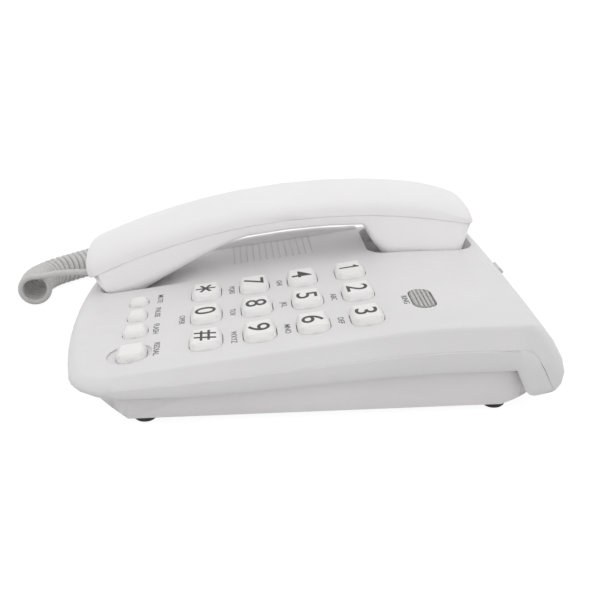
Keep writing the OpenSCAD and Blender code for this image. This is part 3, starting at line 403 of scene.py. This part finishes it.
def skin(name, rings):
    """A closed, smooth solid through rings of equal length."""
    n = len(rings[0])
    faces = [tuple(reversed(range(n)))]
    for i in range(1, len(rings)):
        a, b = (i - 1) * n, i * n
        faces += [(a + k, a + (k + 1) % n, b + (k + 1) % n, b + k) for k in range(n)]
    faces.append(tuple(range((len(rings) - 1) * n, len(rings) * n)))
    mesh = bpy.data.meshes.new(name)
    mesh.from_pydata([p for ring in rings for p in ring], [], faces)
    mesh.update()
    piece = new_piece(name, mesh)
    only(piece)
    bpy.ops.object.shade_smooth_by_angle(angle=math.radians(SKIN_ANGLE))
    return piece


# ------------------------------------------------------------------ deck

# From here on lengths are in millimetres, unless a line says otherwise
KEYPAD = Vector((25.0, -10.0))     # centre of the keypad
DECK_Z = 36.0                      # the deck's height where y is 0
SLOPE = math.radians(7.4)
BEND_Y, LEVEL_Y = 34.0, 62.0       # the deck levels out between these
KEY_RISE = 3.0                     # top of a digit key over the deck
KEY_W, KEY_L = 20.0, 14.6
PITCH_X, PITCH_Y = 29.5, 24.0      # from key to key


def deck_height(y):
    """Height of the deck over the table, at a distance towards the tail, in millimetres."""
    m = math.tan(SLOPE)
    if y < BEND_Y:
        return DECK_Z + m * y
    if y < LEVEL_Y:
        return DECK_Z + m * y - m * (y - BEND_Y) ** 2 / (2 * (LEVEL_Y - BEND_Y))
    return DECK_Z + m * (BEND_Y + LEVEL_Y) / 2


def on_keypad(x, s, h):
    """A point of the keypad's plane: across, along the slope, and out of it."""
    z = deck_height(KEYPAD.y)
    return Vector((KEYPAD.x + x, KEYPAD.y + s * math.cos(SLOPE) - h * math.sin(SLOPE),
                   z + s * math.sin(SLOPE) + h * math.cos(SLOPE)))


# ------------------------------------------------------------------ cord route

CORD_D = 3.1                       # the route is laid out for this diameter
CURL_START = Vector((-74.0, -143.0))
CURL_HEAD = 183.0                  # degrees: the axis's heading at its start
FIRST_R, CURL_R = 7.8, 6.65        # radius of the first curl and of those past WIDE_RUN
WIDE_RUN = 32.0
FLOOR_GAP = 0.1
# Stretches of the axis: length and radius of the bend, negative to the left, 0 where it is straight
STRETCHES = [(10.0, 0.0), (34 * math.radians(50), 34.0), (29.8, 0.0), (40 * math.radians(84), 40.0),
             (18.6, 0.0), (60 * math.radians(41), -60.0), (1000.0, 0.0)]
COIL_RUN = 227.7                   # length of the axis
CLOSE_PITCH = 3.5                  # distance between curls where the axis is straight
TOUCH_PITCH = 3.25                 # least distance between them on the inner side of a bend
HANDSET_PLUG = Vector((-50.3, -103.5, 27.6))
BASE_PLUG = Vector((-78.6, 34.0, 9.3))
LEAD_POINTS = [(-55, -122, 25.8), (-61.5, -130, 22.8), (-67.5, -135.3, 19.9), (-72, -137, 17.9)]
BASE_LEAD_POINTS = [(-94.5, 34, 4.4), (-90, 34, 7.8)]
LIFTED_CURLS = 8                   # so many curls rise with the handset
LEAD_STEPS = 6                     # points between two of a lead's own
HEADING_STEP = 0.002               # turns over which a heading is taken


def walk(distance):
    """Place and heading on the axis of the curls, which bends in behind the base."""
    p, head = CURL_START.copy(), CURL_HEAD
    for length, radius in STRETCHES:
        step = min(distance, length)
        a = math.radians(head)
        if radius:
            b = a - step / radius
            p += radius * (Vector((math.sin(a), -math.cos(a))) - Vector((math.sin(b), -math.cos(b))))
            head = math.degrees(b)
        else:
            p += step * Vector((math.cos(a), math.sin(a)))
        distance -= step
        if distance <= 0:
            break
    return p, head


def bend_at(distance):
    """Radius of the axis's bend, 0 where it is straight."""
    for length, radius in STRETCHES:
        distance -= length
        if distance <= 0:
            return radius
    return 0


def count_turns():
    """Turns wound up to each millimetre of the axis: close curls, opened out where they bend."""
    turns = [0.0]
    for i in range(round(COIL_RUN)):
        bend = abs(bend_at(i + 0.5))
        inner = TOUCH_PITCH / (1 - CURL_R / bend) if bend else 0
        turns.append(turns[-1] + 1 / max(CLOSE_PITCH, inner))
    whole = math.floor(turns[-1]) + 0.5
    return [t * whole / turns[-1] for t in turns]


WOUND = count_turns()
TURNS = WOUND[-1]


def distance_at(w):
    """How far along the axis turn w lies."""
    i = min(max(bisect_right(WOUND, w) - 1, 0), len(WOUND) - 2)
    steps = i + (w - WOUND[i]) / (WOUND[i + 1] - WOUND[i])
    return min(max(steps * COIL_RUN / (len(WOUND) - 1), 0), COIL_RUN)


def curl_point(w):
    """Middle of the cord at turn w of the curls."""
    distance = distance_at(w)
    p, head = walk(distance)
    u = min(1, distance / WIDE_RUN)
    r = FIRST_R + (CURL_R - FIRST_R) * u * u * (3 - 2 * u)
    a, t = math.radians(head), 2 * math.pi * w
    side = Vector((math.sin(a), -math.cos(a), 0))
    out = Vector((0, 0, math.cos(t))) - side * math.sin(t)
    return Vector((p.x, p.y, r + CORD_D / 2 + FLOOR_GAP)) + r * out


def curl_heading(w):
    """Level direction of the cord at turn w."""
    ahead = curl_point(w + HEADING_STEP) - curl_point(w)
    ahead.z = 0
    return ahead.normalized()


def catmull(points, steps):
    """A smooth run through points, its first and last pair straight."""
    out = [points[0]]
    for k in range(1, len(points) - 2):
        a, b, c, d = points[k - 1], points[k], points[k + 1], points[k + 2]
        for i in range(steps):
            u = i / steps
            out.append(0.5 * (2 * b + (c - a) * u + (2 * a - 5 * b + 4 * c - d) * u * u
                              + (3 * b - a - 3 * c + d) * u ** 3))
    return out + [points[-2], points[-1]]


def curls(w0, w1, steps):
    """Points along the curls from one turn to another."""
    count = round((w1 - w0) * steps)
    return [curl_point(w0 + (w1 - w0) * i / count) for i in range(count + 1)]


def handset_route(steps):
    """From the handset's plug, along its lead and through the curls that rise with it."""
    first = curl_point(0)
    ahead = curl_heading(0)
    end = first - CORD_D * ahead
    points = [HANDSET_PLUG, HANDSET_PLUG + Vector((0, -CORD_D, 0)), *map(Vector, LEAD_POINTS),
              end - CORD_D * ahead, end]
    return catmull(points, LEAD_STEPS) + curls(0, LIFTED_CURLS, steps)


def table_route(steps):
    """From the base's plug, along its lead and back through the curls on the table."""
    last = curl_point(TURNS)
    tail = last + Vector((CORD_D, 0, 0))
    points = [BASE_PLUG, BASE_PLUG - Vector((CORD_D, 0, 0)), *map(Vector, reversed(BASE_LEAD_POINTS)),
              tail + Vector((CORD_D, 0, 0)), tail]
    return catmull(points, LEAD_STEPS) + list(reversed(curls(LIFTED_CURLS, TURNS, steps)))


def tube(name, path, diameter, sides):
    """A closed tube along a path, its rings carried from one to the next without twist."""
    path = [p * MM for p in path]
    last = len(path) - 1
    tangents = [(path[min(i + 1, last)] - path[max(i - 1, 0)]).normalized() for i in range(last + 1)]
    across = tangents[0].orthogonal().normalized()
    rings = []
    for p, t in zip(path, tangents):
        across = (across - across.dot(t) * t).normalized()
        other = t.cross(across)
        angles = [2 * math.pi * k / sides for k in range(sides)]
        rings.append([p + diameter / 2 * (math.cos(a) * across + math.sin(a) * other) for a in angles])
    return skin(name, rings), path


def run(path):
    """Length along a path."""
    return sum((b - a).length for a, b in zip(path, path[1:]))


# ------------------------------------------------------------------ operators

CAMERA_PLACE = Vector((456.05, -37.49, 204.06))
CAMERA_TURN = (85.24, 21.14, -0.05)  # degrees: azimuth, elevation and roll
PICTURE_W = 600                    # pixels
FOCAL = 986.5                      # pixels
SENSOR_W = 36                      # millimetres
CLIP = (0.02, 20)                  # metres


class TELEPHONE_OT_camera(bpy.types.Operator):
    """Sets up the camera, low beside the base's right flank"""

    bl_idname = "telephone.camera"
    bl_label = "Camera"

    def execute(self, context):
        azimuth, elevation, roll = (math.radians(a) for a in CAMERA_TURN)
        back = Vector((math.sin(azimuth) * math.cos(elevation), -math.cos(azimuth) * math.cos(elevation),
                       math.sin(elevation)))
        lens = bpy.data.cameras.new("camera")
        lens.sensor_width = SENSOR_W
        lens.lens = FOCAL / PICTURE_W * SENSOR_W
        lens.clip_start, lens.clip_end = CLIP
        camera = bpy.data.objects.new("camera", lens)
        context.scene.collection.objects.link(camera)
        turn = (-back).to_track_quat("-Z", "Y").to_matrix().to_4x4() @ Matrix.Rotation(roll, 4, "Z")
        camera.matrix_world = Matrix.Translation(CAMERA_PLACE * MM) @ turn
        context.scene.camera = camera
        return {"FINISHED"}


class TELEPHONE_OT_cord(bpy.types.Operator):
    """Winds the curly cord from the handset to the base"""

    bl_idname = "telephone.cord"
    bl_label = "Curly cord"

    def execute(self, context):
        s = sizes()
        lifted, lifted_path = tube("handset_cord", handset_route(s.curl_steps), s.cord_diameter, s.cord_sides)
        table, table_path = tube("table_cord", table_route(s.curl_steps), s.cord_diameter, s.cord_sides)
        for piece in (lifted, table):
            paint(piece, "cord")
        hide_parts("handset_lead")
        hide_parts("cord_coil", "base_lead")
        start = curl_point(LIFTED_CURLS)
        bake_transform(lifted)
        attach(table, "base")
        return {"FINISHED"}


class TELEPHONE_OT_finishes(bpy.types.Operator):
    """Gives every carried-over part its own finish"""

    bl_idname = "telephone.finishes"
    bl_label = "Finishes"

    def execute(self, context):
        for node, finish in NODE_FINISH.items():
            paint(NODES[node], finish)
        return {"FINISHED"}


# Fine groove that turns down the side at the tail: towards the tail and up
TAIL_GROOVE = [(80, 31.4), (84, 31.7), (88, 31.6), (91.5, 31.2), (94.3, 30.2), (96.3, 28.4), (98.0, 25.8),
               (99.9, 22.3), (101.6, 18.9), (103.2, 15.4), (104.4, 13.0)]
GROOVE_D = 0.5
GROOVE_STEPS = 4                   # points between two of the groove's own
CUTTER_SIDES = 8
BESIDE = 0.2                       # metres: a ray starts this far to the side of the base


def carve_grooves(piece):
    """Cuts the fine groove into both sides, its cutter lying on the surface."""
    for side in (1, -1):
        path = []
        for y, z in TAIL_GROOVE:
            start, across = Vector((side * BESIDE, y * MM, z * MM)), Vector((-side, 0, 0))
            found, place, _, _ = piece.ray_cast(start, across)
            if not found:
                raise RuntimeError("the groove misses the housing")
            path.append(place / MM)
        cutter, _ = tube("groove_cutter", catmull(path, GROOVE_STEPS), GROOVE_D * MM, CUTTER_SIDES)
        carve(piece, cutter)


# Rim along the deck's far edge, between the wells: towards the tail, height over the deck
RIM_X, RIM_HALF = -74.7, 2.4
RIM_HEIGHTS = [(-49, 0.05), (-45, 0.7), (-40, 1.7), (-34, 2.8), (-27, 3.6), (-18, 4.05), (-8, 4.15), (0, 4.0),
               (8, 3.8), (16, 3.4), (23, 2.7), (30, 1.9), (35, 1.55), (37.4, 1.3), (38.3, 0.8)]
RIM_STEPS = 10                     # flats over its top
RIM_ROOT = 2.0                     # it reaches so far into the deck
RIM_FOOT = 0.3                     # its round starts so far under the deck
RIM_FULLNESS = 0.8                 # 1 for an ellipse, less for a fuller top


def rim(name):
    """A low rounded ridge that stands on the deck."""
    rings = []
    for y, height in RIM_HEIGHTS:
        z = deck_height(y)
        ring = [(RIM_X - RIM_HALF, z - RIM_ROOT), (RIM_X + RIM_HALF, z - RIM_ROOT)]
        for i in range(RIM_STEPS + 1):
            a = math.pi * i / RIM_STEPS
            up = (height + RIM_FOOT) * math.sin(a) ** RIM_FULLNESS
            ring.append((RIM_X + RIM_HALF * math.cos(a), z - RIM_FOOT + up))
        rings.append([Vector((x, y, h)) * MM for x, h in ring])
    return skin(name, [list(reversed(ring)) for ring in rings])


# Lower front corner of the skirt's leg, the top of its front edge and a place along its foot:
# towards the tail and up
LEG_CORNER, LEG_TOP, LEG_FOOT = Vector((94, 9)), Vector((88, 22)), Vector((109, 12))
LEG_ROUND = 5.0
LEG_INSIDE, LEG_OUTSIDE = 70, 84   # the cutter reaches across between these
LEG_STEPS = 10                     # flats round the corner
LEG_MARGIN = 3.0                   # the cutter stands so far out of the leg


def round_legs(piece):
    """Rounds the leg's lower front corner on both sides."""
    up, along = (LEG_TOP - LEG_CORNER).normalized(), (LEG_FOOT - LEG_CORNER).normalized()
    half = up.angle(along) / 2
    centre = LEG_CORNER + (up + along).normalized() * LEG_ROUND / math.sin(half)
    reach = LEG_ROUND / math.tan(half)
    first, last = LEG_CORNER + up * reach - centre, LEG_CORNER + along * reach - centre
    corner = [centre + first.lerp(last, i / LEG_STEPS).normalized() * LEG_ROUND
              for i in range(LEG_STEPS + 1)]
    out = (LEG_CORNER - centre).normalized() * LEG_MARGIN
    corner += [LEG_CORNER + along * reach + out, LEG_CORNER + 2 * out, LEG_CORNER + up * reach + out]
    corner.reverse()
    for ends in ((LEG_INSIDE, LEG_OUTSIDE), (-LEG_OUTSIDE, -LEG_INSIDE)):
        carve(piece, skin("leg_cutter", [[Vector((x, p.x, p.y)) * MM for p in corner] for x in ends]))


def rework_deck(piece):
    """Cuts what the deck's housing has more than its solid."""
    carve_grooves(piece)
    round_legs(piece)


ON_DECK = 0.06                     # corners closer to the deck than this lie on it
FACES_UP = 0.9                     # least rise of the normal of a face on the deck
SLOPE_STEP = 0.5                   # the slope is taken this far to either side


def even_deck(piece):
    """Gives the deck's own slope to the normals on it, so that no face edge shows there."""
    mesh = piece.data
    normals = [corner.vector.copy() for corner in mesh.corner_normals]
    for face in mesh.polygons:
        places = [mesh.vertices[v].co / MM for v in face.vertices]
        if face.normal.z > FACES_UP and all(abs(p.z - deck_height(p.y)) < ON_DECK for p in places):
            for corner, p in zip(face.loop_indices, places):
                rise = deck_height(p.y + SLOPE_STEP) - deck_height(p.y - SLOPE_STEP)
                normals[corner] = Vector((0, -rise, 2 * SLOPE_STEP)).normalized()
    mesh.normals_split_custom_set(normals)


HOUSING_SHARPNESS = 38             # degrees: sharper edges stay sharp
SHELL_SHARPNESS = 42
CAP_SHARPNESS = 50


class TELEPHONE_OT_housings(bpy.types.Operator):
    """Makes the base's two moulded housings and the rim beside the cradle"""

    bl_idname = "telephone.housings"
    bl_label = "Housings"

    def execute(self, context):
        for node, name, finish, slot in (("upper_housing", "deck_housing", "housing", "housing"),
                                         ("lower_housing", "bottom_housing", "lower", "lower_housing")):
            upper = node == "upper_housing"
            piece = smooth_copy(node, name, HOUSING_SHARPNESS, rework_deck if upper else None)
            if upper:
                even_deck(piece)
            paint(piece, finish)
            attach(piece, "base")
            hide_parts(node)
        edge = rim("cradle_rim")
        # Painted light: the housing's rim takes the handset's lighter plastic, so that it shows lighter in
        # the shade under the handset
        paint(edge, "handset")
        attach(edge, "base")
        return {"FINISHED"}


SEAM_SHARPNESS = 58                # degrees: the edges at the seam are sharper
SEAM_D = 0.75
SEAM_CLOSE = 0.9                   # share of the last step that the seam's path goes back to its start


def seam_path(piece):
    """Follows the longest sharp edge of a shell, which is the outer edge of its seam."""
    only(piece)
    bpy.ops.object.mode_set(mode="EDIT")
    bpy.ops.mesh.select_mode(type="EDGE")
    bpy.ops.mesh.select_all(action="DESELECT")
    bpy.ops.mesh.edges_select_sharp(sharpness=math.radians(SEAM_SHARPNESS))
    bpy.ops.object.mode_set(mode="OBJECT")
    places = [v.co / MM for v in piece.data.vertices]
    links = {}
    for edge in piece.data.edges:
        if edge.select:
            a, b = edge.vertices
            links.setdefault(a, []).append(b)
            links.setdefault(b, []).append(a)
    best, left = [], set(links)
    while left:
        # The walk starts on the far side and keeps as straight as it can
        here = min(left, key=lambda v: (places[v].x, places[v].y))
        left.remove(here)
        path, heading = [places[here]], Vector((0, -1, 0))
        while ahead := [v for v in links[here] if v in left]:
            steps = {v: (places[v] - places[here]).normalized() for v in ahead}
            here = max(ahead, key=lambda v: steps[v].dot(heading))
            left.remove(here)
            path.append(places[here])
            heading = steps[here]
        if run(path) > run(best):
            best = path
    return best + [best[-1].lerp(best[0], SEAM_CLOSE)]


class TELEPHONE_OT_handset(bpy.types.Operator):
    """Makes the handset's two moulded shells"""

    bl_idname = "telephone.handset"
    bl_label = "Handset"

    def execute(self, context):
        seam = []

        def carve_seam(shell):
            if not seam:
                seam.extend(seam_path(shell))
            carve(shell, tube("seam_cutter", seam, SEAM_D * MM, CUTTER_SIDES)[0])

        # The belly's finish is painted lighter than the back's, against its shade
        for node, name, finish in (("handset_upper_shell", "handset_back", "handset"),
                                   ("handset_lower_shell", "handset_belly", "belly")):
            piece = smooth_copy(node, name, SHELL_SHARPNESS, carve_seam)
            paint(piece, finish)
            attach(piece, "handset")
            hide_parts(node)
        return {"FINISHED"}


# Column and row of each digit, from the keypad's middle, in pitches
DIGITS = {
    "1": (-1, 1.5), "2": (0, 1.5), "3": (1, 1.5), "4": (-1, 0.5), "5": (0, 0.5), "6": (1, 0.5),
    "7": (-1, -0.5), "8": (0, -0.5), "9": (1, -0.5), "star": (-1, -1.5), "0": (0, -1.5), "hash": (1, -1.5),
}
FUNCTION_KEYS = ("mute", "pause", "flash", "redial")
DIAL_LETTERS = {"ABC": (0, 1.5), "DEF": (1, 1.5), "GHI": (-1, 0.5), "JKL": (0, 0.5), "MNO": (1, 0.5),
                "PQRS": (-1, -0.5), "TUV": (0, -0.5), "WXYZ": (1, -0.5), "OPER": (0, -1.5)}
DIAL_DROP = 11.5                   # the dial letters stand this far in front of their key's middle
# Across and along the slope, from the keypad's middle
FUNCTION_WORDS = [("MUTE", -32.6, -59.2), ("PAUSE", -14.6, -59.6), ("FLASH", 5.8, -59.4),
                  ("REDIAL", 29.4, -58), ("RING", 16, 55.9)]


class TELEPHONE_OT_keys(bpy.types.Operator):
    """Makes the sixteen key caps"""

    bl_idname = "telephone.keys"
    bl_label = "Keys"

    def execute(self, context):
        for key in [*DIGITS, *FUNCTION_KEYS]:
            node = f"key_{key}"
            piece = smooth_copy(node, f"cap_{key}", CAP_SHARPNESS)
            paint(piece, "keys")
            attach(piece, node)
            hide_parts(node)
        return {"FINISHED"}


PRINT_WELD = 0.0005 * MM
LETTER_STEPS = 6                   # points along each of a letter's curves
HALF = 0.5                         # half of a letter's thickness, before it is laid on its face


def weld(piece, cuts):
    """Closes a printed shape, turns its faces outward and cuts them fine enough to follow a curve."""
    only(piece)
    bpy.ops.object.mode_set(mode="EDIT")
    bpy.ops.mesh.select_all(action="SELECT")
    bpy.ops.mesh.remove_doubles(threshold=PRINT_WELD)
    bpy.ops.mesh.normals_make_consistent(inside=False)
    bpy.ops.mesh.quads_convert_to_tris()
    if cuts:
        bpy.ops.mesh.subdivide(number_cuts=cuts)
    bpy.ops.object.mode_set(mode="OBJECT")


def lettering(name, words, height, width, bold, cuts=0):
    """Solid letters in one mesh. words holds each word with its centre, in millimetres."""
    pieces = []
    for text, x, y in words:
        bpy.ops.object.select_all(action="DESELECT")
        bpy.ops.object.text_add(location=(0, 0, 0))
        letters = bpy.context.object
        data = letters.data
        data.body = text
        data.align_x = "CENTER"
        data.align_y = "CENTER"
        data.resolution_u = LETTER_STEPS
        data.offset = bold
        data.extrude = HALF
        bpy.ops.object.convert(target="MESH")
        letters = bpy.context.object
        corners = [v.co.copy() for v in letters.data.vertices]
        low = Vector([min(c[i] for c in corners) for i in range(2)])
        high = Vector([max(c[i] for c in corners) for i in range(2)])
        middle, scale = (low + high) / 2, height / (CAP_SHARE + 2 * bold)
        for v in letters.data.vertices:
            v.co.x = (v.co.x - middle.x) * scale * width + x * MM
            v.co.y = (v.co.y - middle.y) * scale + y * MM
        pieces.append(letters)
    only(pieces[0])
    for piece in pieces:
        piece.select_set(True)
    if len(pieces) > 1:
        bpy.ops.object.join()
    made = bpy.context.object
    made.name = name
    weld(made, cuts)
    return made


def drawn_sign(name, outline, height, cuts):
    """A solid sign from its own outline, which is given for a height of 1."""
    n = len(outline)
    points = [(x * height, y * height, z) for z in (-HALF, HALF) for x, y in outline]
    faces = [tuple(reversed(range(n))), tuple(range(n, 2 * n))]
    faces += [(k, (k + 1) % n, n + (k + 1) % n, n + k) for k in range(n)]
    mesh = bpy.data.meshes.new(name)
    mesh.from_pydata(points, [], faces)
    piece = new_piece(name, mesh)
    only(piece)
    bpy.ops.object.mode_set(mode="EDIT")
    bpy.ops.mesh.select_all(action="SELECT")
    bpy.ops.mesh.quads_convert_to_tris(quad_method="BEAUTY", ngon_method="BEAUTY")
    bpy.ops.object.mode_set(mode="OBJECT")
    weld(piece, cuts)
    return piece


def star_outline(arm, half):
    """Outline of three bars that cross, arm long from the middle."""
    points = []
    between = math.radians(30)
    for k in range(6):
        a = math.radians(90 + 60 * k)
        u, v = Vector((math.cos(a), math.sin(a))), Vector((-math.sin(a), math.cos(a)))
        notch = 2 * half * (u * math.cos(between) + v * math.sin(between))
        points += [arm * u - half * v, arm * u + half * v, notch]
    return [tuple(p) for p in points]


CAP_SHARE = 0.69                   # height of the font's capitals, as a share of its size
# Drawn signs, for a height of 1
ONE = [(0.13, -0.5), (0.13, 0.5), (0.0, 0.5), (-0.07, 0.39), (-0.2, 0.33), (-0.2, 0.21), (-0.03, 0.24),
       (-0.03, -0.5)]
STAR = star_outline(0.5, 0.072)
DIGIT_WIDTH, WORD_WIDTH = 1.3, 1.16  # letters are stretched sideways by these
DIGIT_BOLD, WORD_BOLD = 0.006, 0.005  # and their strokes grow by these shares of their size
PRINT_CUTS = 3
DIGIT_ROOT, WORD_ROOT = 0.05, 0.1  # the print reaches so far into the plastic
WORD_LIFT = 0.03                   # words stand so much higher than digits, over the deck's flats


def crown_drop(x, y):
    """How far a cap's crowned top has fallen, this far from its middle."""
    return max(x * x / (2 * KEY_W ** 2), y * y / (2 * KEY_L ** 2))


class TELEPHONE_OT_digits(bpy.types.Operator):
    """Prints the digits on the keys"""

    bl_idname = "telephone.digits"
    bl_label = "Digits"

    def execute(self, context):
        s = sizes()
        for key, (column, row) in DIGITS.items():
            name = f"digit_{key}"
            if key in ("1", "star"):
                piece = drawn_sign(name, ONE if key == "1" else STAR, s.digit_height, PRINT_CUTS)
            else:
                words = [("#" if key == "hash" else key, 0, 0)]
                piece = lettering(name, words, s.digit_height, DIGIT_WIDTH, DIGIT_BOLD, PRINT_CUTS)
            centre_x, centre_s = column * PITCH_X, row * PITCH_Y
            for v in piece.data.vertices:
                x, y = v.co.x / MM, v.co.y / MM
                h = KEY_RISE - crown_drop(x, y) + (s.ink_thickness / MM if v.co.z > 0 else -DIGIT_ROOT)
                v.co = on_keypad(centre_x + x, centre_s + y, h) * MM
            paint(piece, "ink")
            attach(piece, f"key_{key}")
        return {"FINISHED"}


class TELEPHONE_OT_words(bpy.types.Operator):
    """Prints the dial letters and the function words on the deck"""

    bl_idname = "telephone.words"
    bl_label = "Words"

    def execute(self, context):
        s = sizes()
        words = [(text, column * PITCH_X, row * PITCH_Y - DIAL_DROP)
                 for text, (column, row) in DIAL_LETTERS.items()]
        piece = lettering("deck_words", words + FUNCTION_WORDS, s.word_height, WORD_WIDTH, WORD_BOLD)
        for v in piece.data.vertices:
            p = on_keypad(v.co.x / MM, v.co.y / MM, 0)
            p.z = deck_height(p.y) + (s.ink_thickness / MM + WORD_LIFT if v.co.z > 0 else -WORD_ROOT)
            v.co = p * MM
        paint(piece, "word_ink")
        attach(piece, "base")
        return {"FINISHED"}


FLOOR_SIZE = 14                    # metres
FLOOR_GREY = (0.6, 0.6, 0.6, 1)
FLOOR_GLOW = 1.28                  # brightness of the floor to rays that show it
FLOOR_SHARE = 0.72                 # share of that glow, beside the floor's own shading and shadow
ROOM_LIGHT = 0.80                  # brightness of the room to all other rays
WHITE = (1, 1, 1, 1)
# Name, place and size in metres, and watts
LAMPS = (("overhead_lamp", (0.05, 0.0, 1.1), 1.1, 1.3),
         ("front_lamp", (1.0, -0.3, 0.7), 0.8, 1.0),
         ("rear_lamp", (0.2, 1.0, 0.8), 0.8, 0.6))


def seen_rays(tree):
    """1 for rays that show the surroundings: to the camera, in gloss or through glass."""
    path = tree.nodes.new("ShaderNodeLightPath")
    total = path.outputs["Is Camera Ray"]
    for name in ("Is Glossy Ray", "Is Transmission Ray"):
        most = tree.nodes.new("ShaderNodeMath")
        most.operation = "MAXIMUM"
        tree.links.new(total, most.inputs[0])
        tree.links.new(path.outputs[name], most.inputs[1])
        total = most.outputs[0]
    return total


def mixed(tree, factor, a, b, output):
    """Sends a mix of two shaders to the tree's output."""
    mix = tree.nodes.new("ShaderNodeMixShader")
    out = tree.nodes.new(output)
    for source, socket in zip((factor, a, b), mix.inputs):
        tree.links.new(source, socket)
    tree.links.new(mix.outputs[0], out.inputs["Surface"])


def lay_floor():
    """A pale floor that keeps the shadow and is near white to the camera."""
    bpy.ops.object.select_all(action="DESELECT")
    bpy.ops.mesh.primitive_plane_add(size=FLOOR_SIZE, location=(0, 0, 0))
    floor = bpy.context.object
    floor.name = "floor"
    material = bpy.data.materials.new("pale_floor")
    material.use_nodes = True
    tree = material.node_tree
    tree.nodes.clear()
    seen = seen_rays(tree)
    share = tree.nodes.new("ShaderNodeMath")
    share.operation = "MULTIPLY"
    share.inputs[1].default_value = FLOOR_SHARE
    tree.links.new(seen, share.inputs[0])
    matt = tree.nodes.new("ShaderNodeBsdfDiffuse")
    matt.inputs["Color"].default_value = FLOOR_GREY
    glow = tree.nodes.new("ShaderNodeEmission")
    glow.inputs["Strength"].default_value = FLOOR_GLOW
    mixed(tree, share.outputs[0], matt.outputs[0], glow.outputs[0], "ShaderNodeOutputMaterial")
    floor.data.materials.append(material)


def light_room():
    """An even white room, which shows brighter than it shines."""
    world = bpy.data.worlds.new("studio")
    bpy.context.scene.world = world
    world.use_nodes = True
    tree = world.node_tree
    tree.nodes.clear()
    seen = seen_rays(tree)
    dim = tree.nodes.new("ShaderNodeBackground")
    dim.inputs["Strength"].default_value = ROOM_LIGHT
    white = tree.nodes.new("ShaderNodeBackground")
    white.inputs["Color"].default_value = dim.inputs["Color"].default_value = WHITE
    mixed(tree, seen, dim.outputs[0], white.outputs[0], "ShaderNodeOutputWorld")


class TELEPHONE_OT_stage(bpy.types.Operator):
    """Lays the pale floor and hangs the soft lamps"""

    bl_idname = "telephone.stage"
    bl_label = "Stage"

    def execute(self, context):
        lay_floor()
        light_room()
        for name, place, size, power in LAMPS:
            light = bpy.data.lights.new(name, "AREA")
            light.shape = "SQUARE"
            light.size = size
            light.energy = power
            lamp = bpy.data.objects.new(name, light)
            lamp.location = place
            lamp.rotation_mode = "QUATERNION"
            lamp.rotation_quaternion = (-Vector(place)).to_track_quat("-Z", "Y")
            context.scene.collection.objects.link(lamp)
        context.scene.view_settings.view_transform = "Standard"
        return {"FINISHED"}


STEPS = (TELEPHONE_OT_camera, TELEPHONE_OT_cord, TELEPHONE_OT_finishes, TELEPHONE_OT_housings,
         TELEPHONE_OT_handset, TELEPHONE_OT_keys, TELEPHONE_OT_digits, TELEPHONE_OT_words, TELEPHONE_OT_stage)


class TELEPHONE_PT_panel(bpy.types.Panel):
    """Lists the telephone's settings and steps"""

    bl_idname = "TELEPHONE_PT_panel"
    bl_label = "Corded Desk Telephone"
    bl_space_type = "VIEW_3D"
    bl_region_type = "UI"
    bl_category = "Telephone"

    def draw(self, context):
        for group in (context.scene.telephone_sizes, context.scene.telephone_colours):
            box = self.layout.box()
            for name in group.bl_rna.properties.keys():
                if name not in ("rna_type", "name"):
                    box.prop(group, name)
        for step in STEPS:
            self.layout.operator(step.bl_idname)


CLASSES = (TelephoneSizes, TelephoneColours, *STEPS, TELEPHONE_PT_panel)


def register():
    for item in CLASSES:
        bpy.utils.register_class(item)
    bpy.types.Scene.telephone_sizes = PointerProperty(type=TelephoneSizes)
    bpy.types.Scene.telephone_colours = PointerProperty(type=TelephoneColours)


def unregister():
    del bpy.types.Scene.telephone_colours
    del bpy.types.Scene.telephone_sizes
    for item in reversed(CLASSES):
        bpy.utils.unregister_class(item)


def main():
    register()
    make_finishes()
    for step in STEPS:
        group, name = step.bl_idname.split(".")
        getattr(getattr(bpy.ops, group), name)()


if __name__ == "__main__":
    main()
